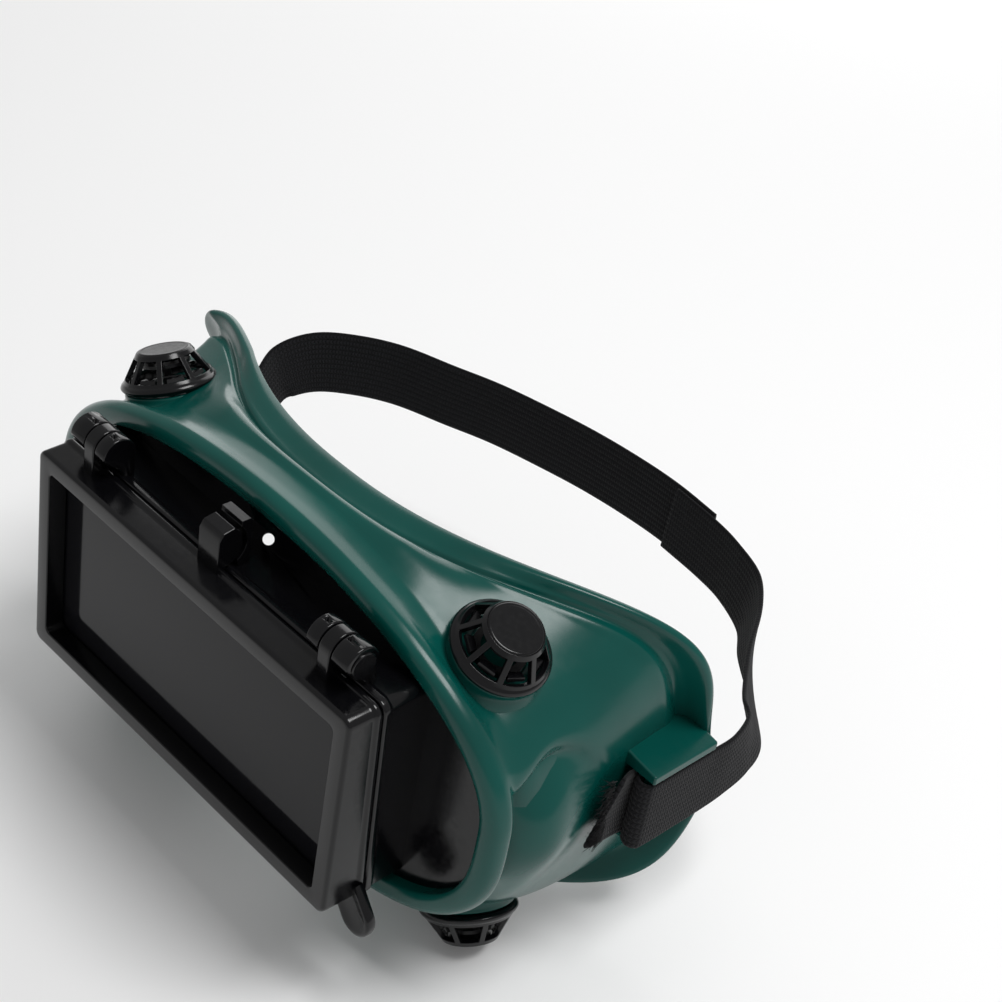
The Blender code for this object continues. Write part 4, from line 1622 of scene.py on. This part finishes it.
@dataclass
class Headband:
    """The woven elastic band: a short end and a long end, sewn together behind the head."""

    paints: Paints
    width: float = 20.0
    thick: float = 1.3
    gap: float = 0.3
    lug_inside: float = 84.4
    lug_outside: float = 86.9
    lug_front: float = 67.5
    lug_back: float = 87.5
    strap_z: float = -10.3
    strands: int = 170
    # past the lug, as (x, depth, z, lean in degrees); the long end lies over the short one
    short_run: tuple[tuple[float, float, float, float], ...] = (
        (87.9, 96.0, -9.6, 0), (86.4, 104.0, -8.4, -8), (82.0, 110.5, -7.4, -24),
        (72.0, 121.0, -5.6, -14), (62.0, 132.0, -3.8, 4), (54.5, 139.6, -2.6, 3),
        (44.0, 143.6, -1.4, 0), (34.0, 145.2, -0.6, 0), (20.0, 146.2, 0.0, 0),
    )
    long_run: tuple[tuple[float, float, float, float], ...] = (
        (-88.6, 94.0, -5.5, 0), (-89.2, 101.0, -0.8, 0), (-86.0, 109.5, 1.6, 0),
        (-79.0, 118.0, 2.0, 0), (-69.0, 126.6, 1.4, 0), (-54.5, 133.7, 0.4, 0),
        (-40.3, 139.6, 0.0, 0), (-20.5, 144.3, 0.0, 0), (-6.5, 146.64, 0.0, 0),
        (8.0, 147.84, 0.0, 0), (20.0, 147.8, 0.0, 0), (33.0, 146.9, -0.5, 0),
    )

    def wrap(self, side: float) -> list[tuple[float, float, float, float]]:
        """The band's turns at a lug, from its cut end to where it leaves backwards.

        Args:
            side: 1 on the wearer's left, -1 on the right.

        Returns:
            Points as (x, depth, z, lean in degrees).
        """
        inner = self.lug_inside - self.gap - self.thick / 2
        outer = self.lug_outside + self.gap + self.thick / 2
        tail = inner - self.thick - self.gap
        front, rear = self.lug_front, self.lug_back - 5.4
        points = [(tail, front + 4.0), (tail, rear - 1.0)]
        turn = np.radians(180 - 180 * np.arange(1, 6) / 6)
        middle, radius = (tail + inner) / 2, (inner - tail) / 2
        points += [(middle + radius * math.cos(a), rear + radius * math.sin(a)) for a in turn]
        points += [(inner, rear - 1.0), (inner, front + 4.0)]
        turn = np.radians(180 + 180 * np.arange(1, 8) / 8)
        middle, radius = (inner + outer) / 2, (outer - inner) / 2
        points += [(middle + radius * math.cos(a), front + radius * math.sin(a)) for a in turn]
        points += [(outer, front + 4.0), (outer, front + 12.0), (outer, self.lug_back)]
        loose = [(tail + 2.0, front - 11.0, self.strap_z + 3.6, 8.0),
                 (tail + 0.4, front - 4.0, self.strap_z + 1.2, 2.0)]
        held = [(x, depth, self.strap_z, 0.0) for x, depth in points]
        return [(side * x, depth, z, lean) for x, depth, z, lean in loose + held]

    def route(self, points: Sequence[tuple[float, float, float, float]], step: float) -> Array:
        """Even steps along a smooth curve through the route's points.

        The curve is a uniform Catmull-Rom spline, resampled by its own length.

        Args:
            points: (x, depth, z, lean) along the band.
            step: spacing in millimetres.

        Returns:
            An (n, 4) array.
        """
        dense = smooth_line(np.array(points, dtype=float), 24)
        length = np.r_[0, np.cumsum(np.linalg.norm(np.diff(dense[:, :3], axis=0), axis=1))]
        where = np.linspace(0, length[-1], int(length[-1] / step) + 1)
        return np.stack([np.interp(where, length, dense[:, k]) for k in range(4)], axis=1)

    def ribbon(self, name: str, route: Array) -> tuple[bpy.types.Object, float]:
        """A flat woven band on edge along a route, with its courses in relief.

        Across the band the half thickness is 0.55 mm plus a 0.12 mm half-wave for each
        course, and it closes to a rounded selvedge at both edges.

        Args:
            name: the piece's name.
            route: (n, 4) points and lean.

        Returns:
            The band, and its length in millimetres.
        """
        centre, lean = route[:, :3], np.radians(route[:, 3])[:, None]
        tangent = np.gradient(centre, axis=0)
        tangent /= np.linalg.norm(tangent, axis=1)[:, None]
        up = np.array((0.0, 0.0, 1.0)) - tangent * tangent[:, 2:3]
        up /= np.linalg.norm(up, axis=1)[:, None]
        across = np.cross(tangent, up)
        wide = up * np.cos(lean) + across * np.sin(lean)
        flat = across * np.cos(lean) - up * np.sin(lean)
        count = 73
        v = np.linspace(-1, 1, count)
        course = np.abs(np.sin(np.pi * 12.5 * (v + 1) / 2))
        half = (0.5 + 0.13 * course) * np.sqrt(np.clip(1 - np.abs(v) ** 18, 0, 1))
        v2 = np.concatenate([v, v[::-1][1:-1]])
        sign = np.concatenate([np.ones(count), -np.ones(count - 2)])
        half2 = np.concatenate([half, half[::-1][1:-1]]) * sign
        grid = (centre[:, None] + wide[:, None] * v2[None, :, None] * self.width / 2
                + flat[:, None] * half2[None, :, None])
        length = np.r_[0, np.cumsum(np.linalg.norm(np.diff(centre, axis=0), axis=1))]
        uv = np.stack(np.broadcast_arrays(length[:, None], v2[None] * self.width / 2), axis=-1)
        shell = Shell()
        shell.grid(metres(grid), caps=True, uv=uv * MM)
        return shell.build(name, self.paints.webbing, sharp=None), float(length[-1])

    def fray(self, name: str, route: Array, count: int, seed: int) -> bpy.types.Object:
        """Loose yarn ends at a cut end: thin curved strands that fan out past the edge.

        A strand starts on the end of the band and bends away by the square of its length.

        Args:
            name: the piece's name.
            route: the band's route, whose first point is the cut end.
            count: number of strands.
            seed: seed of the random draw.

        Returns:
            The strands as one piece.
        """
        rng = np.random.default_rng(seed)
        end, away = route[0, :3], route[0, :3] - route[3, :3]
        away = away / np.linalg.norm(away)
        side = np.cross(away, (0.0, 0.0, 1.0))
        v = rng.uniform(-1, 1, count) * self.width / 2 * 0.97
        start = end + np.outer(v, (0, 0, 1)) + np.outer(rng.uniform(-0.5, 0.5, count), side)
        start = start - away * 2.0
        reach = rng.uniform(3.0, 7.0, count)[:, None]
        bend = np.outer(rng.normal(0, 1.3, count), (0, 0, 1))
        bend = bend + np.outer(rng.normal(0, 0.8, count), side)
        t = np.linspace(0, 1, 7)[None, :, None]
        line = start[:, None] + away * reach[:, None] * t + bend[:, None] * t**2
        radius = 0.13 * (1 - 0.5 * t)
        corners = []
        for angle in 2 * np.pi * np.arange(3) / 3:
            offset = np.array((0, 0, 1)) * math.cos(angle) + side * math.sin(angle)
            corners.append(line + offset * radius)
        shell = Shell()
        for strand in np.stack(corners, axis=2):
            shell.grid(metres(strand), caps=True)
        return shell.build(name, self.paints.yarn, sharp=None)

    def stitches(self, name: str, route: Array, first: float, last: float) -> bpy.types.Object:
        """Rows of sewing thread across the join, each stitch a short raised bead.

        Args:
            name: the piece's name.
            route: the route of the outer band over the join.
            first: where the sewing starts, in millimetres from the route's end.
            last: where it ends.

        Returns:
            The stitches as one piece.
        """
        centre = route[:, :3]
        length = np.r_[0, np.cumsum(np.linalg.norm(np.diff(centre, axis=0), axis=1))]
        length = length[-1] - length
        tangent = np.gradient(centre, axis=0)
        tangent /= np.linalg.norm(tangent, axis=1)[:, None]
        out = np.cross(tangent, (0.0, 0.0, 1.0))
        shell = Shell()
        for lane, where in enumerate(np.linspace(first, last, 5)):
            i = int(np.argmin(np.abs(length - where)))
            for z in np.arange(-8.4, 8.5, 1.55) + 0.35 * (lane % 2):
                for face in (1, -1):
                    base = centre[i] + out[i] * face * 0.68
                    rows = []
                    for s in np.linspace(0, 1, 5):
                        r = 0.17 * math.sin(math.pi * min(max(s, 0.06), 0.94))
                        spot = base + np.array((0, 0, z + (s - 0.5) * 1.0))
                        ring = [spot + tangent[i] * r * math.cos(a) + out[i] * r * math.sin(a)
                                for a in np.radians((0, 72, 144, 216, 288))]
                        rows.append(ring)
                    shell.grid(metres(np.array(rows)), caps=True)
        return shell.build(name, self.paints.stitch, sharp=None)

    def build(self) -> None:
        """Make both ends of the band, their frayed tails and the sewing."""
        ends = (("short", "left", self.short_run, 11), ("long", "right", self.long_run, 23))
        for word, lug, run, seed in ends:
            route = self.route(self.wrap(SIDES[lug]) + list(run), 0.8)
            band, length = self.ribbon(f"elastic_{word}", route)
            belongs(band, Body.MASK, Slot.WEBBING, f"headband_{word}")
            tail = self.fray(f"frayed_end_{word}", route, self.strands, seed)
            belongs(tail, Body.MASK, Slot.WEBBING)
            if word == "long":
                sewing = self.stitches("join_stitching", route, 2.0, 11.5)
                belongs(sewing, Body.MASK, Slot.WEBBING)
            log.info("headband %s end: %.0f mm", word, length)


# ---------------------------------------------------------------- carried-over nodes


@dataclass
class CarriedOver:
    """CAD nodes whose shape is kept and which only get their finish."""

    paints: Paints

    def build(self) -> None:
        """Give each kept node its material."""
        tags = [f"{level}_{word}" for level in ("top", "bottom") for word in SIDES]
        finishes = {
            self.paints.filter: ["filter_lens"],
            self.paints.clear: ["clear_lens"],
            self.paints.rubber: ["lens_gasket"],
            self.paints.satin: ["filter_retainer", "lens_retainer"]
            + [f"vent_stem_{t}" for t in tags] + [f"vent_baffle_{t}" for t in tags],
            self.paints.steel: ["hinge_pin_left", "hinge_pin_right"],
        }
        for paint, names in finishes.items():
            for name in names:
                mesh = bpy.data.objects[name].data
                mesh.materials.clear()
                mesh.materials.append(paint)


# ---------------------------------------------------------------- studio


@dataclass
class Studio:
    """The pale floor, the soft lights and the camera."""

    paints: Paints
    eye: tuple[float, float, float] = (0.26502, -0.28122, 0.29666)
    focal: float = 70.37
    right: tuple[float, float, float] = (0.678953, 0.718163, 0.152526)
    down: tuple[float, float, float] = (0.506895, -0.308249, -0.805009)
    floor_half: float = 6.0
    surround: float = 0.42

    def camera(self) -> None:
        """Create the camera and make it the scene's."""
        right, down = np.array(self.right), np.array(self.down)
        forward = np.cross(right, down)
        turn = np.stack([right, -down, -forward], axis=1)
        data = bpy.data.cameras.new("camera")
        data.lens = self.focal
        data.sensor_width = 36.0
        data.clip_start = 0.01
        data.dof.use_dof = False
        ob = bpy.data.objects.new("camera", data)
        ob.matrix_world = Matrix.Translation(Vector(self.eye)) @ Matrix(turn.tolist()).to_4x4()
        bpy.context.scene.collection.objects.link(ob)
        bpy.context.scene.camera = ob

    def softbox(
        self, name: str, place: tuple[float, float, float], size: float, power: float
    ) -> None:
        """A square soft light aimed at the goggles.

        Args:
            name: the light's name.
            place: its position in metres.
            size: its side in metres.
            power: its power in watts.
        """
        data = bpy.data.lights.new(name, "AREA")
        data.shape = "SQUARE"
        data.size = size
        data.energy = power
        ob = bpy.data.objects.new(name, data)
        turn = (-Vector(place)).to_track_quat("-Z", "Y").to_matrix().to_4x4()
        ob.matrix_world = Matrix.Translation(Vector(place)) @ turn
        bpy.context.scene.collection.objects.link(ob)

    def floor(self) -> None:
        """A large pale floor just under the lowest vent."""
        low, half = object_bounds()[0][2], self.floor_half
        rows = [[(x, y, low) for x in (-half, half)] for y in (-half, half)]
        shell = Shell()
        shell.grid(np.array(rows), close_cols=False)
        ob = shell.build("studio_floor", self.paints.floor)
        ob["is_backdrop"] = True

    def world(self) -> None:
        """Even pale surroundings."""
        world = bpy.data.worlds.new("surroundings")
        world.use_nodes = True
        back = world.node_tree.nodes["Background"]
        back.inputs["Color"].default_value = linear("#ffffff")
        back.inputs["Strength"].default_value = self.surround
        bpy.context.scene.world = world

    def build(self) -> None:
        """Set up the whole studio."""
        self.camera()
        self.floor()
        self.world()
        self.softbox("key_light", (0.38, 0.12, 0.92), 0.42, 6.5)
        self.softbox("back_light", (-0.62, 0.95, 0.4), 1.0, 6.0)
        bpy.context.scene.view_settings.view_transform = "Standard"


def main() -> None:
    """Build every sub-assembly in order and report each one."""
    logging.basicConfig(level=logging.INFO, format="%(name)s: %(message)s")
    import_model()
    paints = Paints()
    mask = SoftMask(paints)
    steps = (
        ("studio", Studio(paints).build),
        ("soft mask", mask.build),
        ("lens frames", lambda: LensFrames(paints).build(mask)),
        ("hinges", Hinges(paints).build),
        ("vents", Vents(paints).build),
        ("headband", Headband(paints).build),
        ("carried-over nodes", CarriedOver(paints).build),
    )
    for name, build in steps:
        build()
        log.info("%s: done", name)


if __name__ == "__main__":
    main()
